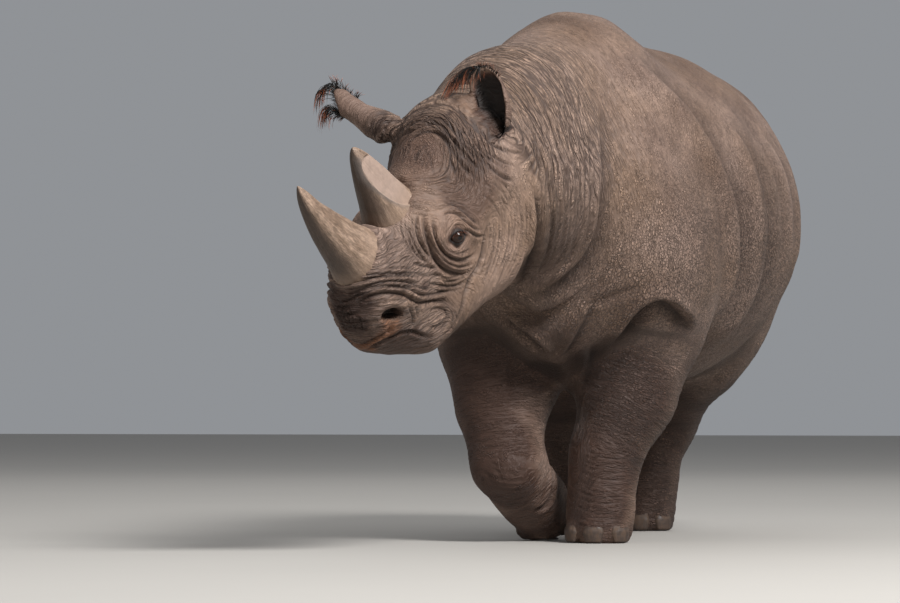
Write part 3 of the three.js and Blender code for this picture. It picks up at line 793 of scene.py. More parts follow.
def folded(clay, tree):
    """The push and the crease of all the folds together."""
    facing = clay.normals()
    push, crease = np.zeros(clay.size), np.zeros(clay.size)
    for line in [*FOLDS.values(), *family_folds()]:
        path, path_facing = on_skin(tree, curve_through(line["through"]))
        step = line.get("step", 0)
        if line.get("arc"):
            path, path_facing = as_arc(tree, path)
        sides = [(path, path_facing, step)]
        if line.get("both", True):
            head = in_head(path)
            on_head = np.median(head[:, 0]) > -0.1
            keep = (head[:, 2] if on_head else midline(path)) > 20 * MM
            if keep.sum() > 4:
                sides.append((*mirrored(tree, path[keep], "head" if on_head else "body"), -step))
        for points, point_facing, side_step in sides:
            size = [line.get(key, 0) * MM for key in ("depth", "width", "under")]
            more, deep = pressed(clay, facing, points, point_facing, size[0], size[1], side_step, size[2])
            push += more
            crease = np.maximum(crease, deep * line.get("soft", 1))
    off_head = ramp(-in_head(clay.at)[:, 0], 40 * MM, 140 * MM)
    push = clay.blurred(np.clip(push, *PUSH_LIMITS), 6, 0.6 * off_head)
    return push, crease


# ---------------------------------------------------------------- eyes and nostrils
EYE_RADIUS = 23 * MM
EYE_OUT = (0.40, 0.16, 0.90)  # which way the left eye looks, in the head's frame
LID_OPENING = (24 * MM, 17 * MM)  # half its length and half its height
LID_SLANT = math.radians(25)
LID_THICKNESS = 3.4 * MM
LID_NARROWING = 0.45  # how much lower the opening is at its corners
LID_REACH = (34 * MM, 56 * MM)  # the lids end and the plain face begins
LID_GROOVE = 3.5 * MM  # deep, 29 mm from the middle of the eye
BALL_GAP = 3.5 * MM  # the skin is sunk this far under the eyeball's face
NOSTRIL_ENDS = ((380, 318), (404, 313))  # in the 900 x 603 view
NOSTRIL_HALF_HEIGHT = 25 * MM
NOSTRIL_DEPTH = 46 * MM
NOSTRIL_RIM = 5 * MM


def eye_axes(side):
    """The middle of an eye, and its outward, forward and up ways. `side` is 1 on her left, -1 on her right."""
    at = np.array(middle("left_eye" if side > 0 else "right_eye"))
    out = unit(np.array(EYE_OUT) * (1, 1, side) @ HEAD_AXES)
    ahead = unit(HEAD_AXES[0] - HEAD_AXES[0] @ out * out)
    up = unit(HEAD_AXES[1] - HEAD_AXES[1] @ out * out - HEAD_AXES[1] @ ahead * ahead)
    slant = math.cos(LID_SLANT) * ahead + math.sin(LID_SLANT) * up
    rise = math.cos(LID_SLANT) * up - math.sin(LID_SLANT) * ahead
    return at, out, slant, rise


def around_eye(points, side):
    """Each point's place round an eye: along the lids, across them, outwards, and 1 at the opening's edge."""
    at, out, ahead, up = eye_axes(side)
    offset = points - at
    x, y, h = offset @ ahead, offset @ up, offset @ out
    half_long, half_high = LID_OPENING
    narrowing = 1 - LID_NARROWING * np.clip(x / half_long, -1, 1) ** 2
    return x, y, h, np.hypot(x / half_long, y / (half_high * narrowing))


def soft_max(a, b, radius):
    h = np.maximum(radius - np.abs(a - b), 0) / radius
    return np.maximum(a, b) + h * h * radius / 4


def lidded(clay, side):
    """Opens the skin over an eye and raises the lids round it."""
    out = eye_axes(side)[1]
    x, y, h, opening = around_eye(clay.at, side)
    away = np.hypot(x, y)
    near = (away < 60 * MM) & (h > -10 * MM)
    ball = np.sqrt(np.maximum(EYE_RADIUS**2 - away**2, 0))
    lid = np.sqrt(np.maximum((EYE_RADIUS + LID_THICKNESS) ** 2 - away**2, 0))
    groove = LID_GROOVE * bell(away, 29 * MM, 5 * MM)
    outside = soft_max(h - groove, lid, 4 * MM)
    edge = ramp(opening, 0.94, 1.06)
    target = (ball - BALL_GAP) * (1 - edge) + outside * edge
    share = (1 - ramp(away, *LID_REACH)) * near
    clay.at += (share * (target - h))[:, None] * out


def nostril_axes(tree, side):
    ends, facing = on_skin(tree, NOSTRIL_ENDS)
    if side < 0:
        ends, facing = mirrored(tree, ends, "head")
    out = unit(facing.mean(0))
    along = ends[1] - ends[0]
    half_long = np.linalg.norm(along) / 2
    along = unit(along - along @ out * out)
    across = np.cross(out, along) * side
    return ends.mean(0), out, along, across, half_long


def around_nostril(points, axes):
    at, out, along, across, half_long = axes
    offset = points - at
    x, y, h = offset @ along, offset @ across, offset @ out
    return x, y, h, np.hypot(x / half_long, y / NOSTRIL_HALF_HEIGHT)


def with_nostril(clay, axes):
    """Sinks a nostril into the muzzle and raises its rim."""
    _, y, h, ring = around_nostril(clay.at, axes)
    near = (np.abs(h) < 50 * MM) & (clay.normals() @ axes[1] > 0.1)
    sink = NOSTRIL_DEPTH * (1 - ramp(ring, 0.3, 1.05))
    rim = NOSTRIL_RIM * bell(ring, 1.35, 0.28) * (0.5 + 0.5 * np.tanh(y / (8 * MM)))
    clay.at += (near * (rim - sink))[:, None] * axes[1]


# ---------------------------------------------------------------- the lie of the wrinkles
ARCH_MIDDLE = 160 * MM  # forward of the brain case: the forehead's arches run round it
NECK_BACK = unit(np.array((0.15, 0.97, 0.13)))


def path_along(points, line):
    """Each point's nearest place on a line of joints: how far down the line it lies, and how far off."""
    best = np.full(len(points), np.inf)
    down = np.zeros(len(points))
    start = 0.0
    for a, b in zip(line, line[1:]):
        way = b - a
        t = np.clip((points - a) @ way / (way @ way), 0, 1)
        gap = lengths(points - a - t[:, None] * way)
        closer = gap < best
        best[closer] = gap[closer]
        down[closer] = start + t[closer] * np.linalg.norm(way)
        start += np.linalg.norm(way)
    return down, best


def lie_of_wrinkles(points):
    """A length at each point that grows across the wrinkles, so each wrinkle keeps to one value of it."""
    head = in_head(points)
    arches = np.hypot(head[:, 0] - ARCH_MIDDLE, head[:, 2])
    rings = ARCH_MIDDLE + (points - HEAD_AT) @ NECK_BACK
    lie = arches + (rings - arches) * ramp(-head[:, 0], 0, 120 * MM)
    muzzle = 0.2 - head[:, 1] + 0.25 * (head[:, 0] - 0.45)
    lie += (muzzle - lie) * ramp(head[:, 0], 330 * MM, 430 * MM)
    for side in (1, -1):
        at = eye_axes(side)[0]
        away = lengths(points - at)
        lie += (0.12 + away - lie) * (1 - ramp(away, 45 * MM, 110 * MM))
    for line in LEGS.values():
        joints = np.array([placed(joint) for joint in line])
        down, gap = path_along(points, joints)
        top = joints[0] @ NECK_BACK - HEAD_AT @ NECK_BACK + ARCH_MIDDLE
        share = (1 - ramp(gap, 0.20, 0.27)) * ramp(down, 0.05, 0.3)
        lie += (top + down - lie) * share
    return lie


WRINKLE_PITCH = 13 * MM
WRINKLE_LENGTH = 90 * MM
WRINKLE_HEIGHT = 3.6 * MM
WRINKLE_SHARP = 0.16  # a wrinkle's half width, as a part of the noise's height
SWELL_HEIGHT = 1.6 * MM  # soft unevenness of the flesh, 120 mm and 50 mm across
BARREL_OUT = 17 * MM  # how far the ribs stand out, at half the body's height
FINE_ROUND_EYE = (56 * MM, 44 * MM)  # each with faces half the size of those outside it
FINE_ROUND_NOSTRIL = 60 * MM
SKIN_TRIANGLES = 198_000


def farness(points, places):
    """How far each point is from the nearest of the places."""
    return np.min([lengths(points - place) for place in places], axis=0)


def strengths(points):
    """How strong the directed wrinkles and the net of scales are, from 0 to 1. Bare limits are in metres."""
    forward, up, left = in_head(points).T
    on_head = ramp(forward, -90 * MM, 0)
    forehead = ramp(up, 10 * MM, 70 * MM) * on_head * (1 - ramp(forward, 150 * MM, 260 * MM))
    off_boss = np.hypot(forward - ARCH_MIDDLE, left)
    boss = (1 - ramp(off_boss, 60 * MM, 95 * MM)) * ramp(up, 0, 60 * MM)
    muzzle = ramp(forward, 360 * MM, 450 * MM)
    eyes = farness(points, [eye_axes(side)[0] for side in (1, -1)])
    near_eye = 1 - ramp(eyes, 70 * MM, 120 * MM)
    neck = ramp(-forward, 0, 60 * MM) * (1 - ramp(points[:, 1], -0.55, -0.12))
    throat = neck * (1 - ramp(points[:, 2], 0.85, 1.1))
    leg = 1 - ramp(points[:, 2], 0.42, 0.62)
    lines = 0.25 + 0.7 * neck + 0.4 * leg - 0.25 * throat
    lines += (0.42 - lines) * on_head
    lines += (1 - lines) * forehead * (1 - boss)
    lines += (0.75 - lines) * muzzle
    lines += (0.4 - lines) * near_eye
    lines *= 1 - 0.9 * boss
    net = 0.8 - 0.3 * neck + 0.2 * throat
    net *= 1 - 0.5 * ramp(points[:, 2], 0.8, 1.2)
    net += (0.3 - net) * on_head
    return np.clip(lines, 0, 1), np.clip(net, 0, 1)


def colour_zones(points, facing):
    """Where the hide is darker, and where it is pinker, from 0 to 1. Bare limits are in metres.

    The dark is partly dried earth on the feet and partly painted shade: low on the body, where the skin faces
    down, under the neck, on the chest and on the muzzle's front.
    """
    forward, up, left = in_head(points).T
    muzzle = ramp(forward, 440 * MM, 600 * MM)
    front = ramp(facing @ HEAD_AXES[0], -0.1, 0.7)
    low_muzzle = muzzle * (1 - ramp(up, -130 * MM, 0))
    back, height = points[:, 1], points[:, 2]
    feet = 1 - ramp(height, 0.02, 0.22)
    flank = ramp(back, 0.1, 0.5) * ramp(height, 0.4, 0.6)
    # Painted shade: low on the body and where the skin faces down, less on the flank; then under the neck, and
    # on the forward-facing chest.
    under = (1 - ramp(height, 0.4, 0.85)) * 0.74 * (1 - 0.8 * flank) + 0.35 * ramp(-facing[:, 2], 0.1, 0.8)
    flank *= 1 - ramp(height, 1.15, 1.3)
    under += 0.55 * ramp(height, 0.65, 1.0) * ramp(back, -0.42, -0.2) * (1 - 0.9 * flank)
    chest = ramp(-facing[:, 1], 0.3, 0.9) * (1 - ramp(height, 0.5, 0.9)) * 0.3
    off_boss = np.hypot(forward - ARCH_MIDDLE - 20 * MM, left)
    boss = (1 - ramp(off_boss, 50 * MM, 130 * MM)) * ramp(up, 0, 60 * MM)
    mottle = 0.75 + 0.5 * noise(points / 0.09, 31)
    # The muzzle's front gets painted shade, the feet dried earth, and the boss is a little darker; all of it
    # mottled.
    dark = 0.5 * low_muzzle * front + 0.25 * muzzle * front + 0.4 * feet + under + chest + 0.15 * boss
    dark = np.clip(dark * mottle, 0, 1)
    eyes = farness(points, [eye_axes(side)[0] for side in (1, -1)])
    pink = np.clip(0.6 * boss + 0.5 * (1 - ramp(eyes, 60 * MM, 150 * MM)) * ramp(forward, -0.05, 0.1), 0, 1)
    return dark, pink


# The plain ear leaf is half an egg: how high its middle lies above the root, and its half sizes, in mm.
LEAF_MIDDLE = 130
LEAF_HALF = (60, 40, 96)
LEAF_TOP = LEAF_MIDDLE + LEAF_HALF[2]
EAR_END = 260  # no part of an ear is farther up from its root


def ear_share(points, name):
    """1 on an ear, and 0 away from it."""
    root, axes = ear_axes(name)
    x, y, z = ((points - root) @ axes.T / MM).T
    return ramp(z, 50, 95) * (1 - ramp(np.hypot(x, y), 64, 84)) * (z < EAR_END)


def ear_floor(z):
    """The bottom of the left ear's hollow, in mm towards its opening, at a height above its root."""
    return -27 + 22 * ramp(z, 140, 215) - 36 * (1 - ramp(z, 5, 60))


def ear_rim_at(z):
    """How far towards its opening the plain leaf's rim lies, in mm, at a height above the ear's root."""
    return 24 - 0.173 * (z - 60)


def in_ear(points, facing, name):
    """How far inside an ear's hollow each point lies, from 0 to 1."""
    root, axes = ear_axes(name)
    local = (points - root) @ axes.T
    x, y, z = local.T / MM
    rim = ear_rim_at(z)
    if name == "left_ear":
        edge = rim + 50 * (1 - ramp(z, 40, 110))
        return (1 - ramp(in_leaf(local), 0.92, 1.06)) * ramp(edge - y, 0, 20) * (y > ear_floor(z) - 5)
    on_tube = (z > 40) * (z < EAR_END) * (np.abs(x) < 70)
    return ramp(facing @ axes[1], 0.0, 0.3) * on_tube * (1 - ramp(y - rim, -14, -4)) * (y > -40)


def ear_axes(name):
    """An ear's root, and its own sideways, opening and tipward directions."""
    ear = EARS[name]
    root, tip = placed(ear["root"]), placed(ear["tip"])
    tipward = unit(tip - root)
    sideways = unit(np.cross(ear["opens"], tipward))
    return root, np.array([sideways, np.cross(tipward, sideways), tipward])


# Her right ear is a tube cut off aslant: its half width and middle, in mm, at some heights above its root.
TUBE = {
    "height": (0, 31, 75, 120, 170, 226),
    "was": (34, 33, 42, 60, 55, 12),
    "half": (48, 46, 37, 35, 35, 16),
    "middle": (-8, -10, -15, -17, -17, -8),
}


def ear_shape(name, local):
    """Where the points of a plain ear leaf go in the real one, in the ear's own frame."""
    x, y, z = local.T / MM
    if name == "left_ear":
        x = x - 25 * (1 - z / LEAF_TOP) * ramp(z, -20, 50)
    else:
        share = ramp(z, 0, 30)
        was, half, middle = (np.interp(z, TUBE["height"], TUBE[key]) for key in ("was", "half", "middle"))
        x = x + share * (middle + x * half / was - x)
        y = y * (1 + 0.25 * share * (1 - ramp(z, 40, 120)))
        end = 236 + np.minimum(x - 9, 0) * 1.3
        z = np.minimum(z, end + 0.12 * (z - end))
    return np.column_stack([x, y, z]) * MM


# The left ear's opening: its half width and middle, in mm, at some heights above its root.
LEAF = {
    "height": (0, 30, 60, 97, 130, 166, 198, 216, 222),
    "half": (1, 20, 31, 42, 45, 46, 34, 16, 1),
    "middle": (-24, -23, -22, -18, -15, -11, -5, -2, 0),
}


def in_leaf(local):
    """How far out of the middle of the ear's opening each point lies: 1 at its edge."""
    x, _, z = local.T / MM
    half, middle = (np.interp(z, LEAF["height"], LEAF[key]) for key in ("half", "middle"))
    beyond = np.maximum(np.maximum(-z, z - LEAF["height"][-1]), 0)
    return np.abs(x - middle) / half + beyond


EAR_REACH = 300 * MM  # from an ear's root, wide enough for all of it


def with_ears(clay):
    """Gives the ears their real shapes and hollows out the left one."""
    near = np.flatnonzero(farness(clay.at, [placed(ear["root"]) for ear in EARS.values()]) < EAR_REACH)
    names = list(EARS) + ["head", "neck"]
    owner = np.full(clay.size, len(names))
    owner[near] = nearest_node(clay.at[near], names)
    for index, name in enumerate(EARS):
        root, axes = ear_axes(name)
        share = clay.blurred((owner == index).astype(float), 5)
        local = (clay.at - root) @ axes.T
        moved = np.zeros_like(clay.at)
        some = share > 0
        moved[some] = (ear_shape(name, local[some]) - local[some]) * share[some, None]
        moved = clay.blurred(moved, 3)
        clay.at += moved @ axes
        if name == "left_ear":
            local = (clay.at - root) @ axes.T
            _, y, z = local.T / MM
            inside = 1 - ramp(in_leaf(local), 0.62, 1.02)
            rim = ear_rim_at(z)
            floor = ear_floor(z)
            front = ramp(y - floor, -2, 3) * (y < 75) * (inside > 0)
            sink = front * (rim + (floor - rim) * inside - y) * MM * np.minimum(1, 4 * inside)
            clay.at += sink[:, None] * axes[1]
    clay.write()


def store(obj, name, values):
    """Writes one number, or a row of three, to each vertex."""
    kind = "FLOAT" if values.ndim == 1 else "FLOAT_VECTOR"
    attribute = obj.data.attributes.new(name, kind, "POINT")
    attribute.data.foreach_set("value" if values.ndim == 1 else "vector", values.astype(np.float32).ravel())


# Darker places, in the 900 x 603 view, each with its radius in mm and how dark it is. Those on the chest, the
# legs, the muzzle's front and in the ears' hollows are painted shade; those on the face and round the mouth are
# darker hide.
PAINTED_SHADE_AND_DARK_PATCHES = (
    ((338, 302), 65, 1.2), ((346, 322), 60, 1.2), ((358, 306), 60, 0.7), ((370, 318), 40, 0.6),
    ((412, 334), 42, 0.95), ((390, 280), 100, 0.4), ((440, 260), 60, 0.4), ((426, 152), 95, 0.8),
    ((392, 132), 70, 0.55), ((476, 168), 80, 0.75), ((455, 196), 75, 0.8), ((400, 255), 90, 0.45),
    ((405, 338), 55, 1.0), ((421, 343), 60, 0.9), ((500, 172), 60, 0.6), ((368, 238), 45, 0.4),
    ((548, 522), 75, 1.0), ((500, 360), 140, 0.8), ((540, 375), 110, 1.1), ((470, 350), 130, 0.75),
    ((590, 350), 70, 0.6), ((480, 400), 170, 0.75), ((495, 460), 150, 0.75), ((665, 430), 190, 0.85),
    ((660, 505), 150, 0.8), ((440, 150), 190, 0.62), ((470, 190), 120, 0.85), ((412, 196), 80, 0.5),
    ((345, 98), 120, 0.7), ((370, 118), 80, 0.7), ((545, 505), 120, 0.95), ((450, 300), 90, 0.35),
    ((490, 450), 210, 1.15), ((352, 332), 80, 0.85), ((395, 346), 75, 0.8), ((430, 345), 60, 0.5),
    ((484, 115), 60, 0.75), ((479, 98), 50, 0.75), ((468, 104), 70, 0.6), ((470, 420), 200, 0.95),
    ((480, 380), 240, 1.1), ((505, 490), 170, 1.15), ((610, 480), 120, 0.3), ((612, 528), 110, 0.5),
)


def painted_shade_and_dark_patches(clay, tree):
    """How dark each place is: painted shade at some, darker hide at others."""
    out = np.zeros(clay.size)
    for pixel, radius, amount in PAINTED_SHADE_AND_DARK_PATCHES:
        at = on_skin(tree, [pixel])[0]
        on_head = in_head(at)[0, 0] > -0.05
        spots = [at[0], mirrored(tree, at, "head")[0][0]] if on_head else [at[0]]
        for spot in spots:
            gap = lengths(clay.at - spot)
            out = np.maximum(out, amount * (1 - ramp(gap, 0.45 * radius * MM, radius * MM)))
    return out


# The bare edge of the upper lip and of the nostril, in the 900 x 603 view, with their widths in mm.
LIP_EDGES = (
    (17, [(336, 335), (341, 342), (348, 347), (357, 348), (367, 347)]),
    (13, [(368, 345), (375, 341), (382, 337), (390, 333), (398, 327)]),
    (24, [(387, 319), (389, 325), (387, 331), (382, 336)]),
    (15, [(397, 318), (396, 323), (393, 329)]),
)


def lip_colour(clay, tree):
    """How orange the bare edge of the lip and the nostril is, on both sides."""
    out = np.zeros(clay.size)
    for width, places in LIP_EDGES:
        path = on_skin(tree, curve_through(places))[0]
        for line in (path, mirrored(tree, path, "head")[0]):
            near = np.flatnonzero(lengths(clay.at - line.mean(0)) < 0.15)
            gaps = np.linalg.norm(clay.at[near][:, None] - line[None], axis=2).min(1)
            out[near] = np.maximum(out[near], 1 - ramp(gaps, 0.35 * width * MM, width * MM))
    return out


def skin_piece():
    """The skin, from the rough shape to the last wrinkle."""
    skin = rough_skin()
    eyes = [eye_axes(side)[0] for side in (1, -1)]
    refined(skin, lambda at: in_head(at)[:, 0] > -0.35)
    clay = Clay(skin)
    clay.at = clay.blurred(clay.at, 4, 0.5 * ramp(in_head(clay.at)[:, 0], -0.38, -0.32))
    with_ears(clay)
    tree = tree_of(skin)
    nostrils = [nostril_axes(tree, side) for side in (1, -1)]
    for reach in FINE_ROUND_EYE:
        refined(skin, lambda at: farness(at, eyes) < reach)
    refined(skin, lambda at: farness(at, [axes[0] for axes in nostrils]) < FINE_ROUND_NOSTRIL)
    clay = Clay(skin)
    clay.at = clay.blurred(clay.at, 3, 0.5 * ramp(in_head(clay.at)[:, 0], 0.1, 0.2))
    lie = clay.blurred(lie_of_wrinkles(clay.at), 10)
    for side in (1, -1):
        lidded(clay, side)
    for axes in nostrils:
        with_nostril(clay, axes)
    clay.write()
    push, crease = folded(clay, tree)
    lines, net = strengths(clay.at)
    on_ear = np.max([ear_share(clay.at, name) for name in EARS], axis=0)
    lines *= 1 - 0.8 * on_ear
    net *= 1 - 0.7 * on_ear
    off_eyes = np.min([ramp(around_eye(clay.at, side)[3], 1.3, 2.6) for side in (1, -1)], axis=0)
    free = (1 - crease) * off_eyes
    wave = noise(np.column_stack([clay.at / WRINKLE_LENGTH, lie / WRINKLE_PITCH]), 3)
    ridge = np.exp(-np.abs(wave) / WRINKLE_SHARP)
    push -= WRINKLE_HEIGHT * free * lines * (ridge - 0.4)
    swell = noise(clay.at / 0.12, 5) + 0.5 * noise(clay.at / 0.05, 6)
    push += SWELL_HEIGHT * free * swell
    facing = clay.blurred(clay.normals(), 6)
    facing /= lengths(facing)[:, None]
    back, height = clay.at[:, 1], clay.at[:, 2]
    barrel = ramp(back, 0.0, 0.5) * (1 - ramp(back, 1.2, 1.5))
    ribs = BARREL_OUT * barrel * ramp(height, 0.5, 0.8) * (1 - ramp(height, 1.2, 1.4))
    push += ribs * np.abs(facing[:, 0]) ** 2
    dark, pink = colour_zones(clay.at, facing)
    # Painted shade deep in the ears' hollows and in the nostrils, and dark rims round the eyes, partly the
    # lids' own dark skin and partly painted shade; above 1 the dark takes the hollow colour.
    ears = np.max([in_ear(clay.at, facing, name) for name in EARS], axis=0)
    rims = np.zeros(clay.size)
    for side in (1, -1):
        _, _, out, opening = around_eye(clay.at, side)
        ring = 1.2 * (1 - ramp(opening, 1.3, 2.1)) + 0.8 * (1 - ramp(opening, 1.25, 1.5))
        rims = np.maximum(rims, ring * (out > -10 * MM))
    holes = np.max([1 - ramp(around_nostril(clay.at, axes)[3], 0.3, 0.95) for axes in nostrils], axis=0)
    holes *= ramp(in_head(clay.at)[:, 0], 0.4, 0.5)
    pink = np.where(pink > 0.02, pink, 0) - lip_colour(clay, tree)
    dark = np.clip(np.maximum(dark, painted_shade_and_dark_patches(clay, tree)), 0, 1.2)
    dark = np.clip(dark + 2 * ears + rims + 1.8 * holes, 0, 2)
    clay.at += facing * push[:, None]
    gap = lengths(clay.at - placed(THROAT))
    clay.at = clay.blurred(clay.at, THROAT_ROUNDS, 0.9 * (1 - ramp(gap, *THROAT_REACH)))
    clay.at[:, 2] = np.maximum(clay.at[:, 2], 0)
    clay.write()
    store(skin, "lie", np.column_stack([lie, lines, net]))
    store(skin, "tone", np.column_stack([crease, dark, pink]))
    triangles = sum(len(p.vertices) - 2 for p in skin.data.polygons)
    modified(skin, "DECIMATE", ratio=SKIN_TRIANGLES / triangles)
    skin.data.shade_smooth()
    return skin


# ---------------------------------------------------------------- materials
def colour(code):
    """The linear colour of an sRGB hex value."""
    parts = [int(code[i : i + 2], 16) / 255 for i in (0, 2, 4)]
    return [c / 12.92 if c <= 0.04045 else ((c + 0.055) / 1.055) ** 2.4 for c in parts]


def feed(made, inputs):
    """Gives each input of a node its value, or links it to an output."""
    for name, value in inputs.items():
        if isinstance(value, (bpy.types.NodeSocket, bpy.types.Node)):
            made.id_data.links.new(getattr(value, "outputs", [value])[0], made.inputs[name])
        elif made.inputs[name].type == "RGBA":
            made.inputs[name].default_value = (*value, 1.0)
        else:
            made.inputs[name].default_value = value


def node(tree, kind, settings=None, inputs=None):
    """Adds a node, sets its properties and feeds its inputs."""
    made = tree.nodes.new("ShaderNode" + kind)
    for name, value in (settings or {}).items():
        setattr(made, name, value)
    feed(made, inputs or {})
    return made


MIX = {"data_type": "RGBA"}
TINT = {"data_type": "RGBA", "blend_type": "MULTIPLY"}
TIMES = {"operation": "MULTIPLY"}
TIMES_CLAMPED = {"operation": "MULTIPLY", "use_clamp": True}
TIMES_ADD = {"operation": "MULTIPLY_ADD"}
SMOOTH = {"interpolation_type": "SMOOTHSTEP"}


def new_material(name):
    """An empty material, and its node tree and shader."""
    material = bpy.data.materials.new(name)
    material.use_nodes = True
    tree = material.node_tree
    return material, tree, tree.nodes["Principled BSDF"]


def layered(tree, base, layers):
    """Lays colours over a base in order, each as far as its own share of cover."""
    for cover, over in layers:
        base = node(tree, "Mix", MIX, {0: cover, 6: base, 7: over}).outputs[2]
    return base


def hide_material(settings):
    """Living rhinoceros hide: thick, dry and hairless, in folds, with fine cracks, and dust and painted shade
    in its creases.
    """
    material, tree, shader = new_material("rhinoceros_hide")
    place = node(tree, "TexCoord").outputs["Object"]
    lie = node(tree, "Attribute", {"attribute_name": "lie"}).outputs["Vector"]
    lie = node(tree, "SeparateXYZ", inputs={0: lie})
    tone = node(tree, "Attribute", {"attribute_name": "tone"}).outputs["Vector"]
    tone = node(tree, "SeparateXYZ", inputs={0: tone})
    across, lines, net = lie.outputs
    crease, dark, pink = tone.outputs

    # Wrinkles 13 mm apart and 90 mm long, and others 7 mm apart and 45 mm long: valleys where noise is 0.5.
    wrinkles = []
    for pitch, length, thin in ((WRINKLE_PITCH, WRINKLE_LENGTH, 0.11), (7 * MM, 45 * MM, 0.12)):
        vector = node(tree, "VectorMath", {"operation": "SCALE"}, {0: place, "Scale": 1 / length})
        w = node(tree, "Math", TIMES, {0: across, 1: 1 / pitch})
        wave = node(
            tree, "TexNoise", {"noise_dimensions": "4D"},
            {"Vector": vector, "W": w, "Scale": 1.0, "Detail": 1.0},
        )
        off = node(tree, "Math", {"operation": "SUBTRACT"}, {0: wave, 1: 0.5})
        off = node(tree, "Math", {"operation": "ABSOLUTE"}, {0: off})
        valley = {"Value": off, "From Max": thin, "To Min": 1.0, "To Max": 0.0}
        wrinkles.append(node(tree, "MapRange", SMOOTH, valley))
    coarse, fine = wrinkles

    # Scales about 9 mm long and 6.5 mm across the lie, each a small pillow between cracks.
    warp = node(
        tree, "TexNoise", inputs={"Vector": place, "Scale": 1 / (25 * MM), "Detail": 2.0}
    ).outputs["Color"]
    warped = node(tree, "Mix", {"data_type": "VECTOR"}, {0: 0.015, 4: place, 5: warp}).outputs[1]
    vector = node(tree, "VectorMath", {"operation": "SCALE"}, {0: warped, "Scale": 1 / (9 * MM)})
    w = node(tree, "Math", TIMES, {0: across, 1: 1 / (6.5 * MM)})
    look = {"voronoi_dimensions": "4D", "feature": "DISTANCE_TO_EDGE"}
    cells = node(tree, "TexVoronoi", look, {"Vector": vector, "W": w, "Scale": 1.0}).outputs["Distance"]
    crack = {"Value": cells, "From Max": 0.18, "To Min": 1.0, "To Max": 0.0}
    cracks = node(tree, "MapRange", SMOOTH, crack)
    grain = node(tree, "TexNoise", inputs={"Vector": place, "Scale": 1 / (4 * MM), "Detail": 3.0})

    # All the valleys together, each as strong as the part of the body has it.
    directed = node(tree, "Math", TIMES, {0: coarse, 1: lines})
    share = node(tree, "Math", TIMES_ADD, {0: lines, 1: 0.5, 2: 0.15})
    directed_fine = node(tree, "Math", TIMES, {0: fine, 1: share})
    netted = node(tree, "Math", TIMES, {0: cracks, 1: net})
    both = node(tree, "Math", {"operation": "MAXIMUM"}, {0: directed_fine, 1: netted})
    valleys = node(tree, "Math", {"operation": "MAXIMUM"}, {0: directed, 1: both})

    # Colour: grey-brown, in patches warmer and pinker, spotted, with dried earth and painted shade below, and
    # dust and painted shade in the valleys and the folds' creases.
    patches = node(tree, "TexNoise", inputs={"Vector": place, "Scale": 1 / (300 * MM), "Detail": 4.0})
    patches = node(tree, "MapRange", inputs={"Value": patches, "From Min": 0.35, "From Max": 0.65})
    base = node(tree, "Mix", MIX, {0: patches, 6: settings.hide, 7: settings.hide_warm}).outputs[2]
    pinker = node(tree, "Math", TIMES_CLAMPED, {0: pink, 1: 0.6})
    base = node(tree, "Mix", MIX, {0: pinker, 6: base, 7: settings.hide_pink}).outputs[2]
    spots = node(
        tree, "TexNoise", inputs={"Vector": place, "Scale": 1 / (26 * MM), "Detail": 4.0, "Roughness": 0.65}
    )
    level = {"Value": spots, "From Min": 0.3, "From Max": 0.7, "To Min": 0.72, "To Max": 1.2}
    level = node(tree, "MapRange", inputs=level)
    level = node(tree, "CombineColor", inputs={0: level, 1: level, 2: level})
    base = node(tree, "Mix", TINT, {0: 1.0, 6: base, 7: level}).outputs[2]
    # Dried earth on the feet and painted shade, as far as `dark` reaches 1; painted shade deep in the ears,
    # nostrils and lids, past 1.
    mud_and_shade_cover = node(tree, "Math", TIMES_CLAMPED, {0: dark, 1: 0.9})
    hollow = node(tree, "Math", {"operation": "SUBTRACT", "use_clamp": True}, {0: dark, 1: 1.0})
    bare = node(tree, "Math", TIMES_CLAMPED, {0: pink, 1: -1.0})
    patchy = node(tree, "Math", TIMES_ADD, {0: spots, 1: 1.2, 2: 0.15})
    bare = node(tree, "Math", TIMES, {0: bare, 1: patchy})
    shade = node(tree, "Math", TIMES_CLAMPED, {0: valleys, 1: 0.95})
    deep = node(tree, "Math", TIMES_CLAMPED, {0: crease, 1: 0.9})
    layers = (
        (mud_and_shade_cover, settings.mud_and_shade), (hollow, settings.hollow), (bare, settings.lip),
        (shade, settings.crease), (deep, settings.crease),
    )
    base = layered(tree, base, layers)

    # Relief: valleys up to 8 mm deep, and a grain up to 1.3 mm high.
    depth = node(tree, "Math", TIMES, {0: valleys, 1: -1.0})
    height = node(tree, "Math", TIMES_ADD, {0: grain, 1: 0.16, 2: depth})
    bump = node(tree, "Bump", inputs={"Height": height, "Distance": 8 * MM})
    rough = node(tree, "MapRange", inputs={"Value": grain, "To Min": 0.58, "To Max": 0.78})
    feed(shader, {"Base Color": base, "Normal": bump, "Roughness": rough})
    return material


# ---------------------------------------------------------------- horns
HORN_SIDES = 192
HORN_RINGS = 150
HORN_FLARE = 0.16  # how much wider its foot is
SET_IN = 22 * MM
FIBRE_UNIT = 60  # mm, of the attribute that the fibres follow
SKIRT = (15, 95)  # the frayed foot of a horn ends between these heights, in mm
# The rear horn's left side is rubbed flat in an oval. In the horn's own frame, in mm: a place on the flat, the
# way it faces, and the oval's middle and half size, forward and up.
WORN_AT = np.array((-39.3, -19.6, 90.6))
WORN_FACING = np.array((-0.962, -0.14, 0.233))
WORN_MIDDLE = (-18, 105)
WORN_HALF = (47, 104)


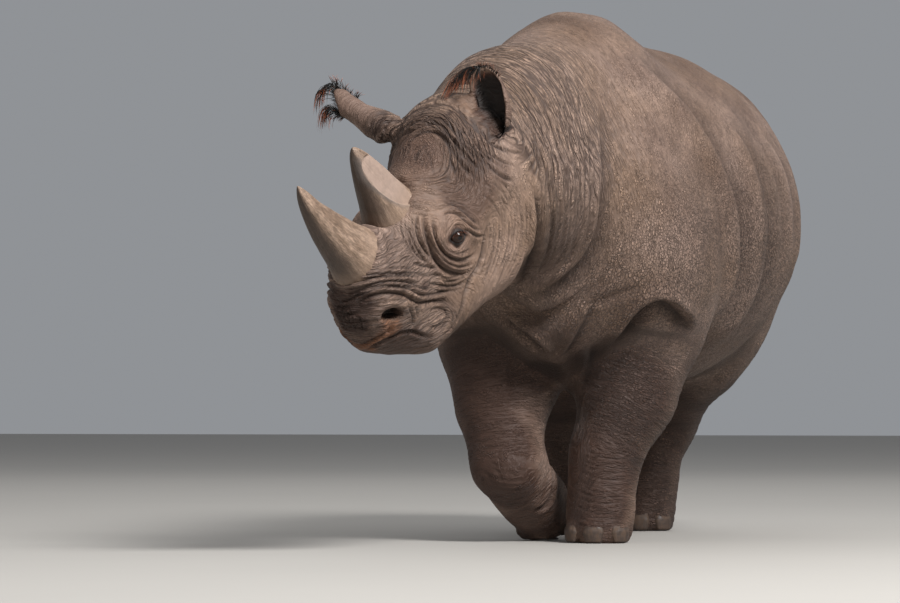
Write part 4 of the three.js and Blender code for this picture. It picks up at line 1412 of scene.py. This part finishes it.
def horn_piece(name):
    """A horn: a sheet rolled into a cone, with fibres, growth steps and a frayed skirt."""
    bpy.ops.object.select_all(action="DESELECT")
    bpy.ops.mesh.primitive_grid_add(x_subdivisions=HORN_SIDES, y_subdivisions=HORN_RINGS, size=1)
    horn = bpy.context.object
    horn.name = horn.data.name = name + "_sheath"
    shape = HORNS[name]
    clay = Clay(horn)
    angle = (clay.at[:, 0] + 0.5) * 2 * math.pi
    row = (clay.at[:, 1] + 0.5) * HORN_RINGS
    t = np.clip((row - 1) / (HORN_RINGS - 1), 0, 1)
    around = np.column_stack([np.sin(angle), np.cos(angle)])
    taper = (1 - t) ** shape["blunt"] * (1 + HORN_FLARE * (1 - t) ** 6)
    height = shape["height"] * (1 - (1 - t) ** 1.25)
    ring = around * shape["half"] * taper[:, None]
    skirt = 1 - ramp(height, *SKIRT)

    def waves(across, along, seed):
        """Noise whose waves are 1 / across of the horn's radius wide and `along` mm high."""
        return noise(np.column_stack([around * across, height / along]), seed)

    fibres = waves(9, 90, 11) + 0.6 * waves(21, 60, 12)
    steps = waves(1.5, 13, 13) * skirt
    lumps = waves(2, 60, 14)
    # The horn's roughness, in mm.
    swell = (0.5 + 1.6 * skirt) * fibres + 1.1 * steps + 2.2 * lumps * ramp(t, 0, 0.1)
    swell *= ramp(1 - t, 0, 0.25)
    ring *= (1 + swell / np.maximum(lengths(ring), 12))[:, None]
    ring[row < 0.5] = 0
    local = np.column_stack([ring[:, 0], ring[:, 1] + shape["sweep"] * t * t, height - SET_IN / MM * (1 - t)])
    worn, band = np.zeros(len(t)), np.zeros(len(t))
    if name == "rear_horn":
        slant = local[:, 1] - WORN_MIDDLE[0] - 0.2 * (local[:, 2] - WORN_MIDDLE[1])
        oval = np.hypot(slant / WORN_HALF[0], (local[:, 2] - WORN_MIDDLE[1]) / WORN_HALF[1])
        oval += 2 * (local[:, 0] > 0)
        worn = 1 - ramp(oval, 0.96, 1.02)
        over = np.clip((local - WORN_AT) @ WORN_FACING + 4, 1.0, 10)
        local -= (worn * over)[:, None] * WORN_FACING
        band = (1 - worn) * (1 - ramp(oval, 1.05, 1.3)) * ramp(slant, -10, 20)
    # One side of each horn, turned to her right and forward, away from the light, is painted darker as shade.
    brown = ramp(around @ (0.7, 0.71), -0.45, 0.45) * (1 - worn)
    base, axes = horn_axes(name)
    clay.at = local * MM @ axes + base
    clay.write()
    thick = lengths(ring)[:, None]
    store(horn, "fibre", np.column_stack([around * thick / FIBRE_UNIT, height / FIBRE_UNIT]))
    store(horn, "wear", np.column_stack([worn, skirt, band]))
    store(horn, "brown", brown)
    return faced_out(horn, DOUBLES)


# ---------------------------------------------------------------- eyes and nails
CORNEA_BULGE = 0.07  # as a part of the eye's radius


def eyeball(side):
    """An eye with its clear front standing out a little."""
    name = "left_eye" if side > 0 else "right_eye"
    at, out, ahead, up = eye_axes(side)
    bpy.ops.object.select_all(action="DESELECT")
    bpy.ops.mesh.primitive_uv_sphere_add(segments=64, ring_count=48, radius=1)
    ball = bpy.context.object
    ball.name = ball.data.name = name + "ball"
    clay = Clay(ball)
    place = clay.at.copy()
    bulge = 1 + CORNEA_BULGE * bell(place[:, 2], 1, 0.12)
    clay.at = (clay.at * bulge[:, None] * EYE_RADIUS) @ np.array([ahead, up, out]) + at
    clay.write()
    store(ball, "gaze", place)
    return faced_out(ball), name


NAIL_CELL = 2.2 * MM
NAIL_ROUNDS = 20  # of smoothing
NAIL_OUT = 3.2 * MM  # how far a nail's face stands out of its plain shape
NAIL_TUCK = 11 * MM  # how far its upper end is drawn in under the skin
NAIL_ROUND = 3 * MM  # how far its sides are drawn in
NAIL_HALF_WIDTH = 34 * MM
NAIL_RIDGE = 0.5 * MM


def nail_piece(node_name):
    """A toenail: a worn, ridged plate whose upper end is hidden under the skin."""
    low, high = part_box(node_name)
    nail = modified(copied(node_name + "_plate", node_name), "REMESH", mode="VOXEL", voxel_size=NAIL_CELL)
    clay = Clay(nail)
    once = clay.blurred(clay.at, NAIL_ROUNDS, 0.7)
    clay.at = 2 * once - clay.blurred(once, NAIL_ROUNDS, 0.7)
    facing = clay.normals()
    foot_at = np.array(middle(node_name.split("_nail_")[0] + "_foot"))
    nail_at = np.array(middle(node_name))
    outward = unit((nail_at - foot_at) * (1, 1, 0))
    climb = (clay.at[:, 2] - low.z) / (high.z - low.z)
    aside = lengths(np.cross(clay.at - nail_at, outward)[:, 2:]) / NAIL_HALF_WIDTH
    out = NAIL_OUT - NAIL_TUCK * ramp(climb, 0.45, 0.95) - NAIL_ROUND * ramp(aside, 0.75, 1)
    clay.at += out[:, None] * outward
    ridges = noise(clay.at * (1, 1, 0.12) / (4 * MM), 21) + 0.7 * noise(clay.at * (0.2, 0.2, 1) / (5 * MM), 22)
    clay.at += facing * (NAIL_RIDGE * ridges)[:, None]
    clay.at[:, 2] = np.maximum(clay.at[:, 2], 1 * MM)
    clay.write()
    nail.data.shade_smooth()
    return nail


# ---------------------------------------------------------------- hair
STRAND_STEPS = 7
STRAND_SIDES = 4
CHART_PATCH = 0.003  # each strand's size on the chart
ASKEW = (0.31, 0.42, 0.85)  # a direction that no strand runs in
GOLDEN = 0.618034  # spreads the strands' own numbers evenly over 0 to 1


def hair_piece(name, strands):
    """One mesh of tapered strands. Each is its places from root to tip, its radius, and its chart place."""
    corners, faces, charts, numbers = [], [], [], []
    for index, (path, radius, chart) in enumerate(strands):
        path = np.asarray(path)
        way = np.gradient(path, axis=0)
        way /= lengths(way)[:, None] + 1e-12
        side = np.cross(way, ASKEW)
        side /= lengths(side)[:, None] + 1e-12
        other = np.cross(way, side)
        start = len(corners)
        steps = len(path)
        t = np.linspace(0, 1, steps)
        thick = radius * (1 - t**2.2) ** 0.8
        thick[0] *= 0.8
        for j in range(steps - 1):
            for k in range(STRAND_SIDES):
                turn = 2 * math.pi * k / STRAND_SIDES
                corners.append(
                    path[j] + thick[j] * (math.cos(turn) * side[j] + 0.75 * math.sin(turn) * other[j])
                )
                numbers.append((t[j], index * GOLDEN % 1, 0))
        corners.append(path[-1])
        numbers.append((1, index * GOLDEN % 1, 0))
        top = start + (steps - 1) * STRAND_SIDES

        def chart_of(j, k):
            return (chart[0] + CHART_PATCH * k / STRAND_SIDES, chart[1] + CHART_PATCH * j / steps)

        for k in range(STRAND_SIDES):
            after = (k + 1) % STRAND_SIDES
            for j in range(steps - 2):
                a, b = start + j * STRAND_SIDES, start + (j + 1) * STRAND_SIDES
                faces.append((a + k, b + k, b + after, a + after))
                charts += [chart_of(j, k), chart_of(j + 1, k), chart_of(j + 1, k + 1), chart_of(j, k + 1)]
            last = start + (steps - 2) * STRAND_SIDES
            faces.append((last + k, top, last + after))
            charts += [chart_of(steps - 2, k), chart_of(steps - 1, k), chart_of(steps - 2, k + 1)]
        faces.append(tuple(start + k for k in range(STRAND_SIDES)))
        charts += [chart_of(0, k) for k in range(STRAND_SIDES)]
    mesh = bpy.data.meshes.new(name)
    mesh.from_pydata([tuple(c) for c in corners], [], faces)
    layer = mesh.uv_layers.new(name="OFBake")
    layer.data.foreach_set("uv", np.array(charts, np.float32).ravel())
    hair = linked(name, mesh)
    store(hair, "strand", np.array(numbers))
    return faced_out(hair)


def smooth_path(points, steps=STRAND_STEPS + 1):
    """Evenly spread places on a smooth curve through a few points."""
    p = with_ends(points)
    out = []
    for s in np.linspace(0, len(points) - 1, steps):
        i = min(int(s), len(points) - 2)
        out.append(between(*p[i : i + 4], s - i))
    return np.array(out)


def ear_rim(name, count, tree):
    """Places round an ear's rim, each with the ways out of the rim and opening, its height and its turn."""
    root, axes = ear_axes(name)
    wide, deep, tall = LEAF_HALF
    out = []
    for turn in np.linspace(0, 2 * math.pi, count, endpoint=False):
        low, high = 0.0, 1.5
        for _ in range(24):
            k = (low + high) / 2
            x, z = wide * math.cos(turn) * k, LEAF_MIDDLE + tall * math.sin(turn) * k
            y = ear_rim_at(z)
            if (x / wide) ** 2 + (y / deep) ** 2 + ((z - LEAF_MIDDLE) / tall) ** 2 < 1:
                low = k
            else:
                high = k
        local = ear_shape(name, np.array([(x, y, z)]) * MM)[0]
        at = root + local @ axes
        near = tree.find_nearest(Vector(at))
        outward = np.array((math.cos(turn), 0, math.sin(turn))) @ axes
        out.append((np.array(near[0]), outward, axes[1], local[2] / MM, turn / (2 * math.pi)))
    return out


# Locks of the ears' fringes: how many strands, and places in the 900 x 603 view from root to tip.
LOCKS = {
    "right_ear": [
        (26, [(333, 88), (327, 83), (320, 87), (317, 97), (316, 108)]),
        (20, [(333, 91), (326, 88), (319, 92), (317, 100), (317, 108)]),
        (12, [(333, 87), (331, 81), (329, 77), (327, 73)]),
        (10, [(336, 86), (336, 81), (335, 78), (337, 75)]),
        (12, [(334, 94), (328, 93), (322, 95), (319, 102)]),
        (8, [(349, 92), (350, 88), (352, 85)]),
        (8, [(358, 98), (360, 94), (363, 92)]),
        (26, [(342, 113), (335, 107), (328, 108), (324, 115), (323, 127)]),
        (20, [(342, 116), (334, 111), (328, 114), (326, 121), (327, 127)]),
        (14, [(343, 118), (337, 116), (332, 119), (330, 122)]),
    ],
    "left_ear": [
        (26, [(476, 72), (469, 70), (461, 76), (458, 86), (456, 93)]),
        (26, [(473, 73), (464, 73), (455, 80), (450, 90), (446, 99)]),
        (20, [(470, 77), (462, 79), (455, 87), (452, 94)]),
        (18, [(479, 70), (472, 70), (466, 76), (463, 86), (462, 92)]),
        (14, [(478, 72), (474, 75), (472, 83), (471, 90)]),
        (14, [(480, 71), (479, 76), (478, 82), (478, 87)]),
    ],
}

RIM_PLACES = 240
LOCK_SPREAD = 36  # how many of the nearest rim places hold a lock's roots
SHORT_HAIR_FROM = {"left_ear": 190, "right_ear": 150}  # mm up from the ear's root


def ear_fringe(name, settings):
    """The fringe of one ear: drawn locks near the tip, and short stiff hairs round the upper part of the rim.
    """
    tree = tree_of(bpy.data.objects["skin"])
    chance = np.random.default_rng(41 if name == "left_ear" else 42)
    rim = ear_rim(name, RIM_PLACES, tree)
    rim_at = np.array([r[0] for r in rim])
    root_at = np.array(VIEW.translation)
    strands = []
    scale = settings.fringe_length / (40 * MM)
    for count, places in LOCKS[name]:
        ways = np.array([np.array(sight(p)) for p in places])
        gaps = lengths(np.cross(rim_at - root_at, ways[0]))
        closest = np.argsort(gaps)[:LOCK_SPREAD]
        for _ in range(count):
            pick = rim[closest[int(abs(chance.normal(0, 0.35)) * LOCK_SPREAD) % LOCK_SPREAD]]
            start = pick[0]
            depth = (start - root_at) @ ways[0]
            shape = np.array([root_at + way * depth / (way @ ways[0]) for way in ways])
            shape = start + (shape - shape[0]) * (1 + 0.12 * chance.normal()) * scale
            fan = np.linspace(0, 1, len(shape))[:, None] ** 1.3
            shape = shape + fan * (chance.normal(0, 4.5 * MM, 3) + ways[0] * chance.normal(0, 9 * MM))
            path = smooth_path(shape)
            chart = (0.05 + 0.9 * pick[4] + 0.02 * chance.random(), 0.5 + 0.3 * chance.random())
            strands.append((path, settings.fringe_width / 2 * (0.7 + 0.6 * chance.random()), chart))
    for at, outward, opening, height, turn in rim * 3:
        if height < SHORT_HAIR_FROM[name]:
            continue
        length = (5 + 9 * ramp(height, 60, 200)) * MM * (0.5 + chance.random()) * scale
        lean = outward * (0.9 + 0.3 * chance.random()) + opening * chance.normal(0.2, 0.35)
        lean = lean + np.array((0, 0, 0.1))
        start = at + chance.normal(0, 1.5 * MM, 3)
        start = np.array(tree.find_nearest(Vector(start))[0])
        points = [
            start + lean * length * s + np.array((0, 0, -0.25)) * length * s * s
            for s in np.linspace(-0.15, 1, 4)
        ]
        chart = (0.05 + 0.9 * turn, 0.1 + 0.3 * chance.random())
        strands.append((smooth_path(points, 5), 0.55 * MM, chart))
    return hair_piece(name + "_fringe", strands)


LASHES = 70  # on each eye


def lashes_piece(settings):
    """Short lashes on the upper lids, pointing out and down."""
    tree = tree_of(bpy.data.objects["skin"])
    chance = np.random.default_rng(43)
    strands = []
    for side in (1, -1):
        at, out, ahead, up = eye_axes(side)
        half_long, half_high = LID_OPENING
        for i in range(LASHES):
            s = -0.9 + 1.8 * (i + chance.random()) / LASHES
            x = s * half_long
            y = half_high * math.sqrt(max(0, 1 - s * s)) * (1 - LID_NARROWING * s * s) * 1.08
            start = at + ahead * x + up * y + out * (EYE_RADIUS + 1 * MM) * 0.93
            start = np.array(tree.find_nearest(Vector(start))[0])
            length = settings.lash_length * (0.6 + 0.5 * chance.random())
            lean = out * 0.8 + up * 0.35 + ahead * (0.35 * s + chance.normal(0, 0.12))
            points = [start + length * (lean * q - up * 0.75 * q * q) for q in np.linspace(-0.1, 1, 4)]
            chart = (0.25 + 0.5 * (side > 0) + 0.2 * s, 0.5 + 0.02 * chance.random())
            strands.append((smooth_path(points, 6), 0.4 * MM, chart))
    return hair_piece("lashes", strands)


TAIL_ROOT = (-92, 1440, 1230)
TAIL_REACH = 95
TAIL_DROP = 560
BRISTLES = 520
TUFT_FROM, TUFT_SPAN = 0.72, 0.27  # where on the tail its bristles grow, as parts of its length
TUFT_END = 1.165


def down_tail(t):
    return placed(TAIL_ROOT) + np.array((0, TAIL_REACH * math.sin(1.6 * t), -TAIL_DROP * t)) * MM


def tail_tuft_piece(settings):
    """Stiff bristles along the front and rear edges of the tail's end, meeting in a point."""
    chance = np.random.default_rng(44)
    strands = []
    for i in range(BRISTLES):
        start_t = TUFT_FROM + TUFT_SPAN * (i + chance.random()) / BRISTLES
        angle = (math.pi / 2 if i % 2 else -math.pi / 2) + chance.normal(0, 0.75)
        radius = (17.5 + 5 * max(0, 0.9 - start_t)) * MM
        aside = np.array((math.cos(angle), math.sin(angle), 0))
        length = settings.tuft_length / (TAIL_DROP * MM) * (0.75 + 0.35 * chance.random())
        end_t = min(TUFT_END, start_t + length)
        points = []
        for s in np.linspace(0, 1, 5):
            t = start_t + (end_t - start_t) * s
            spread = radius * (0.9 + 1.15 * math.sin(math.pi * min(1, s * 1.15)) * 0.8 - 0.55 * s)
            points.append(down_tail(t) + aside * spread * (1, 0.85, 1) + chance.normal(0, 2.2 * MM, 3) * s)
        chart = (0.05 + 0.9 * ((angle / (2 * math.pi)) % 1), 0.05 + 0.9 * (start_t - TUFT_FROM) / TUFT_SPAN)
        strands.append((smooth_path(points), settings.tuft_width / 2 * (0.7 + 0.6 * chance.random()), chart))
    return hair_piece("tail_bristles", strands)


# ---------------------------------------------------------------- materials of the small pieces
def horn_material(settings):
    """Rhinoceros horn: packed keratin fibres, dull and dusty, scuffed paler where it is rubbed."""
    material, tree, shader = new_material("horn_keratin")
    fibre = node(tree, "Attribute", {"attribute_name": "fibre"}).outputs["Vector"]
    wear = node(tree, "Attribute", {"attribute_name": "wear"}).outputs["Vector"]
    worn, skirt, band = node(tree, "SeparateXYZ", inputs={0: wear}).outputs
    place = node(tree, "TexCoord").outputs["Object"]
    # Fibres 2.5 mm apart and 50 mm long, and bands 20 mm wide and 75 mm long.
    fibres, bands = (
        (FIBRE_UNIT / wide, FIBRE_UNIT / wide, FIBRE_UNIT / long) for wide, long in ((2.5, 50), (20, 75))
    )
    stretched = node(tree, "VectorMath", TIMES, {0: fibre, 1: fibres})
    streaks = node(
        tree, "TexNoise", inputs={"Scale": 1.0, "Detail": 4.0, "Roughness": 0.65, "Vector": stretched}
    )
    wide = node(tree, "VectorMath", TIMES, {0: fibre, 1: bands})
    bands = node(tree, "TexNoise", inputs={"Scale": 1.0, "Detail": 3.0, "Vector": wide})
    bands = node(tree, "MapRange", inputs={"From Min": 0.38, "From Max": 0.62, "Value": bands})
    base = node(tree, "Mix", MIX, {0: bands, 6: settings.horn, 7: settings.horn_brown}).outputs[2]
    pale = node(
        tree, "MapRange",
        inputs={"From Min": 0.35, "From Max": 0.7, "To Min": 0.0, "To Max": 0.75, "Value": streaks},
    )
    # `brown` is painted shade on the side of the horn away from the light, in the dark fibre colour.
    brown = node(tree, "Attribute", {"attribute_name": "brown"}).outputs["Fac"]
    brown = node(tree, "Math", TIMES, {0: brown, 1: 0.9})
    greyed = node(tree, "Math", TIMES, {0: band, 1: 0.6})
    rubbed = node(tree, "Math", TIMES, {0: worn, 1: 0.85})
    frayed = node(tree, "Math", TIMES, {0: skirt, 1: 0.55})
    layers = (
        (pale, settings.horn_dark_and_shade), (brown, settings.horn_dark_and_shade), (greyed, settings.horn_grey),
        (rubbed, settings.horn_worn), (frayed, settings.skirt),
    )
    base = layered(tree, base, layers)
    # Spots, three in 50 mm.
    spots = node(tree, "TexNoise", inputs={"Scale": 3 / (50 * MM), "Detail": 4.0, "Vector": place})
    spots = node(
        tree, "MapRange",
        inputs={"From Min": 0.3, "From Max": 0.7, "To Min": 0.86, "To Max": 1.12, "Value": spots},
    )
    spots = node(tree, "CombineColor", inputs={0: spots, 1: spots, 2: spots})
    base = node(tree, "Mix", TINT, {0: 1.0, 6: base, 7: spots}).outputs[2]
    fine = node(tree, "MapRange", inputs={"To Min": 1.0, "To Max": 0.25, "Value": worn})
    bump = node(tree, "Bump", inputs={"Distance": 1.2 * MM, "Height": streaks, "Strength": fine})
    rough = node(tree, "MapRange", inputs={"To Min": 0.42, "To Max": 0.68, "Value": streaks})
    feed(shader, {"Base Color": base, "Normal": bump, "Roughness": rough})
    return material


def eye_material(settings):
    """A living eye: a wet clear front over a near-black pupil, a dark brown iris and brown-stained white."""
    material, tree, shader = new_material("wet_eye")
    gaze = node(tree, "Attribute", {"attribute_name": "gaze"}).outputs["Vector"]
    x, y, _ = node(tree, "SeparateXYZ", inputs={0: gaze}).outputs
    squeezed = node(tree, "Math", TIMES, {0: x, 1: 0.8})
    flat = node(tree, "CombineXYZ", inputs={0: squeezed, 1: y})
    away = node(tree, "VectorMath", {"operation": "LENGTH"}, {0: flat}).outputs["Value"]
    turned = node(tree, "Math", {"operation": "ARCTAN2"}, {0: y, 1: x})
    rays = node(tree, "CombineXYZ", inputs={0: turned, 1: away})
    # Rays, 14 to a radian round the pupil, and 3 to a radius of the eye.
    rays = node(tree, "VectorMath", TIMES, {0: rays, 1: (14, 3, 1)})
    rays = node(tree, "TexNoise", inputs={"Scale": 1.0, "Detail": 2.0, "Vector": rays})
    iris = node(tree, "Mix", MIX, {0: rays, 6: settings.iris, 7: settings.iris_dark}).outputs[2]
    pupil = node(
        tree, "MapRange",
        inputs={"From Min": 0.2, "From Max": 0.26, "To Min": 1.0, "To Max": 0.0, "Value": away},
    )
    edge = node(tree, "MapRange", inputs={"From Min": 0.56, "From Max": 0.66, "Value": away})
    base = layered(tree, iris, ((pupil, settings.pupil), (edge, settings.eye_white)))
    feed(shader, {"Base Color": base, "Roughness": 0.05, "IOR": 1.38})
    return material


def nail_material(settings):
    """Toenail keratin: ridged, scratched and caked with dust."""
    material, tree, shader = new_material("nail_keratin")
    place = node(tree, "TexCoord").outputs["Object"]
    stretched = node(tree, "VectorMath", TIMES, {0: place, 1: (1, 1, 0.15)})
    # Ridges, 19 in 50 mm, and dust, 11 spots in 200 mm.
    ridges = {"Scale": 19 / (50 * MM), "Detail": 3.0, "Vector": stretched}
    ridges = node(tree, "TexNoise", inputs=ridges)
    dust = {"Scale": 11 / (200 * MM), "Detail": 5.0, "Roughness": 0.6, "Vector": place}
    dust = node(tree, "TexNoise", inputs=dust)
    dust = node(tree, "MapRange", inputs={"From Min": 0.4, "From Max": 0.6, "Value": dust})
    base = node(tree, "Mix", MIX, {0: ridges, 6: settings.nail, 7: settings.nail_dark}).outputs[2]
    base = node(tree, "Mix", MIX, {0: dust, 6: base, 7: settings.dust}).outputs[2]
    bump = node(tree, "Bump", inputs={"Distance": 0.6 * MM, "Height": ridges})
    rough = node(tree, "MapRange", inputs={"To Min": 0.5, "To Max": 0.85, "Value": dust})
    feed(shader, {"Base Color": base, "Normal": bump, "Roughness": rough})
    return material


def hair_material(settings):
    """Stiff black bristle, bleached rusty towards the tips, with a soft sheen along it."""
    material, tree, shader = new_material("bristle_hair")
    strand = node(tree, "Attribute", {"attribute_name": "strand"}).outputs["Vector"]
    along, chance, _ = node(tree, "SeparateXYZ", inputs={0: strand}).outputs
    shifted = node(tree, "Math", TIMES_ADD, {0: chance, 1: 0.55, 2: along})
    tips = node(tree, "MapRange", inputs={"From Min": 0.85, "From Max": 1.35, "Value": shifted})
    base = node(tree, "Mix", MIX, {0: tips, 6: settings.bristle, 7: settings.bristle_tip}).outputs[2]
    feed(shader, {"Base Color": base, "Roughness": 0.42, "IOR": 1.55})
    return material


def floor_material(settings):
    """Matt pale painted floor with a faint roller texture."""
    material, tree, shader = new_material("pale_matt_paint")
    place = node(tree, "TexCoord").outputs["Object"]
    # Patches, three in two metres.
    mottle = node(tree, "TexNoise", inputs={"Scale": 3 / 2, "Detail": 3.0, "Vector": place})
    darker = [c * 0.96 for c in settings.floor]
    base = node(tree, "Mix", MIX, {0: mottle, 6: settings.floor, 7: darker}).outputs[2]
    feed(shader, {"Base Color": base, "Roughness": 0.7})
    return material


# ---------------------------------------------------------------- settings
def colour_property(name, description, code):
    return bpy.props.FloatVectorProperty(
        name=name, description=description, subtype="COLOR", size=3, min=0, max=1, default=colour(code)
    )


def length_property(name, description, millimetres):
    return bpy.props.FloatProperty(
        name=name, description=description, subtype="DISTANCE", unit="LENGTH", min=0, default=millimetres * MM
    )


class RhinoHideSettings(bpy.types.PropertyGroup):
    hide: colour_property("Hide", "Grey-brown of dry hide", "A48A7B")
    hide_warm: colour_property("Warm hide", "Browner patches of hide", "8F7460")
    hide_pink: colour_property("Pink hide", "Thin hide on the forehead and round the eyes", "7A5A4B")
    crease: colour_property("Creases", "Dust and shade in the creases", "2E1E16")
    # Besides dried earth, this colour lays painted shade low on the body, under the neck, on the chest, on the
    # muzzle's front and on the shaded patches.
    mud_and_shade: colour_property("Mud", "Dried mud on the feet and wet hide of the lips", "432A1D")
    lip: colour_property("Lip", "Bare orange-brown edge of the lips and nostrils", "80502E")
    hollow: colour_property("Hollow", "Unlit hide deep in the ears and nostrils", "140E0B")


class RhinoHornSettings(bpy.types.PropertyGroup):
    horn: colour_property("Horn", "Tan of the outer horn", "A88E7A")
    horn_brown: colour_property("Brown horn", "Browner bands of horn", "806957")
    # Also the painted shade on the side of each horn away from the light.
    horn_dark_and_shade: colour_property("Dark fibres", "Dark fibres in the horn", "33261E")
    horn_worn: colour_property("Worn horn", "The rubbed face of the rear horn", "937F73")
    horn_grey: colour_property("Grey horn", "Blue-grey horn below a rubbed face", "5E5754")
    skirt: colour_property("Skirt", "Frayed foot of each horn, where it meets the hide", "8A7361")


class RhinoEyeSettings(bpy.types.PropertyGroup):
    iris: colour_property("Iris", "Dark brown of the iris", "3A251A")
    iris_dark: colour_property("Dark iris", "Dark rays in the iris", "1D120D")
    pupil: colour_property("Pupil", "The pupil", "070606")
    eye_white: colour_property("Eye white", "The stained white of the eye", "3E2C24")


class RhinoNailSettings(bpy.types.PropertyGroup):
    nail: colour_property("Nail", "Grey-brown of the nail", "42342C")
    nail_dark: colour_property("Dark nail", "Grooves in the nail", "2A201A")
    dust: colour_property("Dust", "Dried earth on the nail", "4C3B2F")


class RhinoHairSettings(bpy.types.PropertyGroup):
    bristle: colour_property("Bristle", "Black of the bristles", "14110F")
    bristle_tip: colour_property("Bristle tips", "Rusty tips of the bristles", "A05A3A")
    fringe_length: length_property("Ear fringe", "Length of the ear fringes", 40)
    fringe_width: length_property("Fringe strand", "Width of one strand of an ear fringe", 2.2)
    lash_length: length_property("Lashes", "Length of the lashes", 13)
    tuft_length: length_property("Tail tuft", "Length of the tail's bristles", 125)
    tuft_width: length_property("Tail bristle", "Width of one bristle of the tail", 2.4)


class RhinoStageSettings(bpy.types.PropertyGroup):
    floor: colour_property("Floor", "Paint of the floor", "A9A59F")
    light: bpy.props.FloatProperty(
        name="Key light", description="Power of the key light", unit="POWER", min=0, default=1050
    )


# ---------------------------------------------------------------- operators
class RHINO_OT_skin(bpy.types.Operator):
    """Makes the skin over all the flesh, with its folds and wrinkles"""

    bl_idname = "rhino.skin"
    bl_label = "Skin"

    def execute(self, context):
        skin = skin_piece()
        finished(skin, hide_material(context.scene.rhino_hide), "hide", *HIDE_NODES)
        return {"FINISHED"}


class RHINO_OT_horns(bpy.types.Operator):
    """Makes both horns"""

    bl_idname = "rhino.horns"
    bl_label = "Horns"

    def execute(self, context):
        material = horn_material(context.scene.rhino_horn)
        for name in HORNS:
            finished(horn_piece(name), material, "horn", name)
        return {"FINISHED"}


class RHINO_OT_eyes(bpy.types.Operator):
    """Makes both eyes"""

    bl_idname = "rhino.eyes"
    bl_label = "Eyes"

    def execute(self, context):
        material = eye_material(context.scene.rhino_eye)
        for side in (1, -1):
            ball, name = eyeball(side)
            finished(ball, material, "eye", name)
        return {"FINISHED"}


class RHINO_OT_nails(bpy.types.Operator):
    """Makes the twelve toenails"""

    bl_idname = "rhino.nails"
    bl_label = "Toenails"

    def execute(self, context):
        material = nail_material(context.scene.rhino_nail)
        for name in NAIL_NODES:
            finished(nail_piece(name), material, "nail", name)
        return {"FINISHED"}


class RHINO_OT_hair(bpy.types.Operator):
    """Makes the ear fringes, the lashes and the tail tuft. The skin comes first"""

    bl_idname = "rhino.hair"
    bl_label = "Hair"

    def execute(self, context):
        if "skin" not in bpy.data.objects:
            raise RuntimeError("make the skin before the hair")
        settings = context.scene.rhino_hair
        material = hair_material(settings)
        for name in EARS:
            finished(ear_fringe(name, settings), material, "hair")
        finished(lashes_piece(settings), material, "hair")
        finished(tail_tuft_piece(settings), material, "hair", "tail_tuft")
        return {"FINISHED"}


class RHINO_OT_stage(bpy.types.Operator):
    """Sets the floor, the lights and the camera"""

    bl_idname = "rhino.stage"
    bl_label = "Stage"

    def execute(self, context):
        settings = context.scene.rhino_stage
        bpy.ops.object.select_all(action="DESELECT")
        bpy.ops.mesh.primitive_plane_add(size=80, location=(0, 0, 0))
        floor = bpy.context.object
        floor.name = "floor"
        floor.data.materials.append(floor_material(settings))
        scene = context.scene
        camera = linked("camera", bpy.data.cameras.new("camera"))
        camera.matrix_world = VIEW
        camera.data.sensor_width = 36
        camera.data.lens = FOCAL_PIXELS / VIEW_SIZE[0] * camera.data.sensor_width
        camera.data.clip_end = 200
        scene.camera = camera
        world = bpy.data.worlds.new("studio")
        world.use_nodes = True
        world.node_tree.nodes["Background"].inputs["Color"].default_value = (*colour("E4E8EE"), 1.0)
        world.node_tree.nodes["Background"].inputs["Strength"].default_value = 0.36
        scene.world = world
        middle_at = Vector((0, 0, 0.9))
        for name, at, size, share in (
            ("key", (5.5, -5.0, 7.0), 3.0, 1.35),
            ("fill", (-7.5, -6.0, 4.0), 6.0, 0.12),
            ("back", (-2.0, 8.0, 7.0), 5.0, 0.12),
            ("sky", (1.0, -1.0, 13.0), 26.0, 0.9),
        ):
            light = bpy.data.lights.new(name, "AREA")
            light.energy = settings.light * share
            light.size = size
            lamp = linked(name, light)
            lamp.location = at
            aim = Vector((0, 0, -1)) if name == "sky" else middle_at - lamp.location
            lamp.visible_glossy = name == "key"
            lamp.rotation_euler = aim.to_track_quat("-Z", "Y").to_euler()
        scene.view_settings.view_transform = "Standard"
        return {"FINISHED"}


class RHINO_PT_sidebar(bpy.types.Panel):
    """Lists what the add-on makes"""

    bl_label = "Rhinoceros"
    bl_idname = "RHINO_PT_sidebar"
    bl_space_type = "VIEW_3D"
    bl_region_type = "UI"
    bl_category = "Rhinoceros"

    def draw(self, context):
        for operator in OPERATORS:
            self.layout.operator(operator.bl_idname)
        for name, group in SETTINGS.items():
            box = self.layout.box()
            for prop in group.__annotations__:
                box.prop(getattr(context.scene, name), prop)


SETTINGS = {
    "rhino_hide": RhinoHideSettings,
    "rhino_horn": RhinoHornSettings,
    "rhino_eye": RhinoEyeSettings,
    "rhino_nail": RhinoNailSettings,
    "rhino_hair": RhinoHairSettings,
    "rhino_stage": RhinoStageSettings,
}
OPERATORS = (RHINO_OT_skin, RHINO_OT_horns, RHINO_OT_eyes, RHINO_OT_nails, RHINO_OT_hair, RHINO_OT_stage)


def register():
    for name, group in SETTINGS.items():
        bpy.utils.register_class(group)
        setattr(bpy.types.Scene, name, bpy.props.PointerProperty(type=group))
    for operator in OPERATORS:
        bpy.utils.register_class(operator)
    bpy.utils.register_class(RHINO_PT_sidebar)


def unregister():
    bpy.utils.unregister_class(RHINO_PT_sidebar)
    for operator in reversed(OPERATORS):
        bpy.utils.unregister_class(operator)
    for name, group in SETTINGS.items():
        delattr(bpy.types.Scene, name)
        bpy.utils.unregister_class(group)


def main():
    register()
    bpy.ops.rhino.stage()
    bpy.ops.rhino.skin()
    bpy.ops.rhino.horns()
    bpy.ops.rhino.eyes()
    bpy.ops.rhino.nails()
    bpy.ops.rhino.hair()
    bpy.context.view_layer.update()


if __name__ == "__main__":
    main()
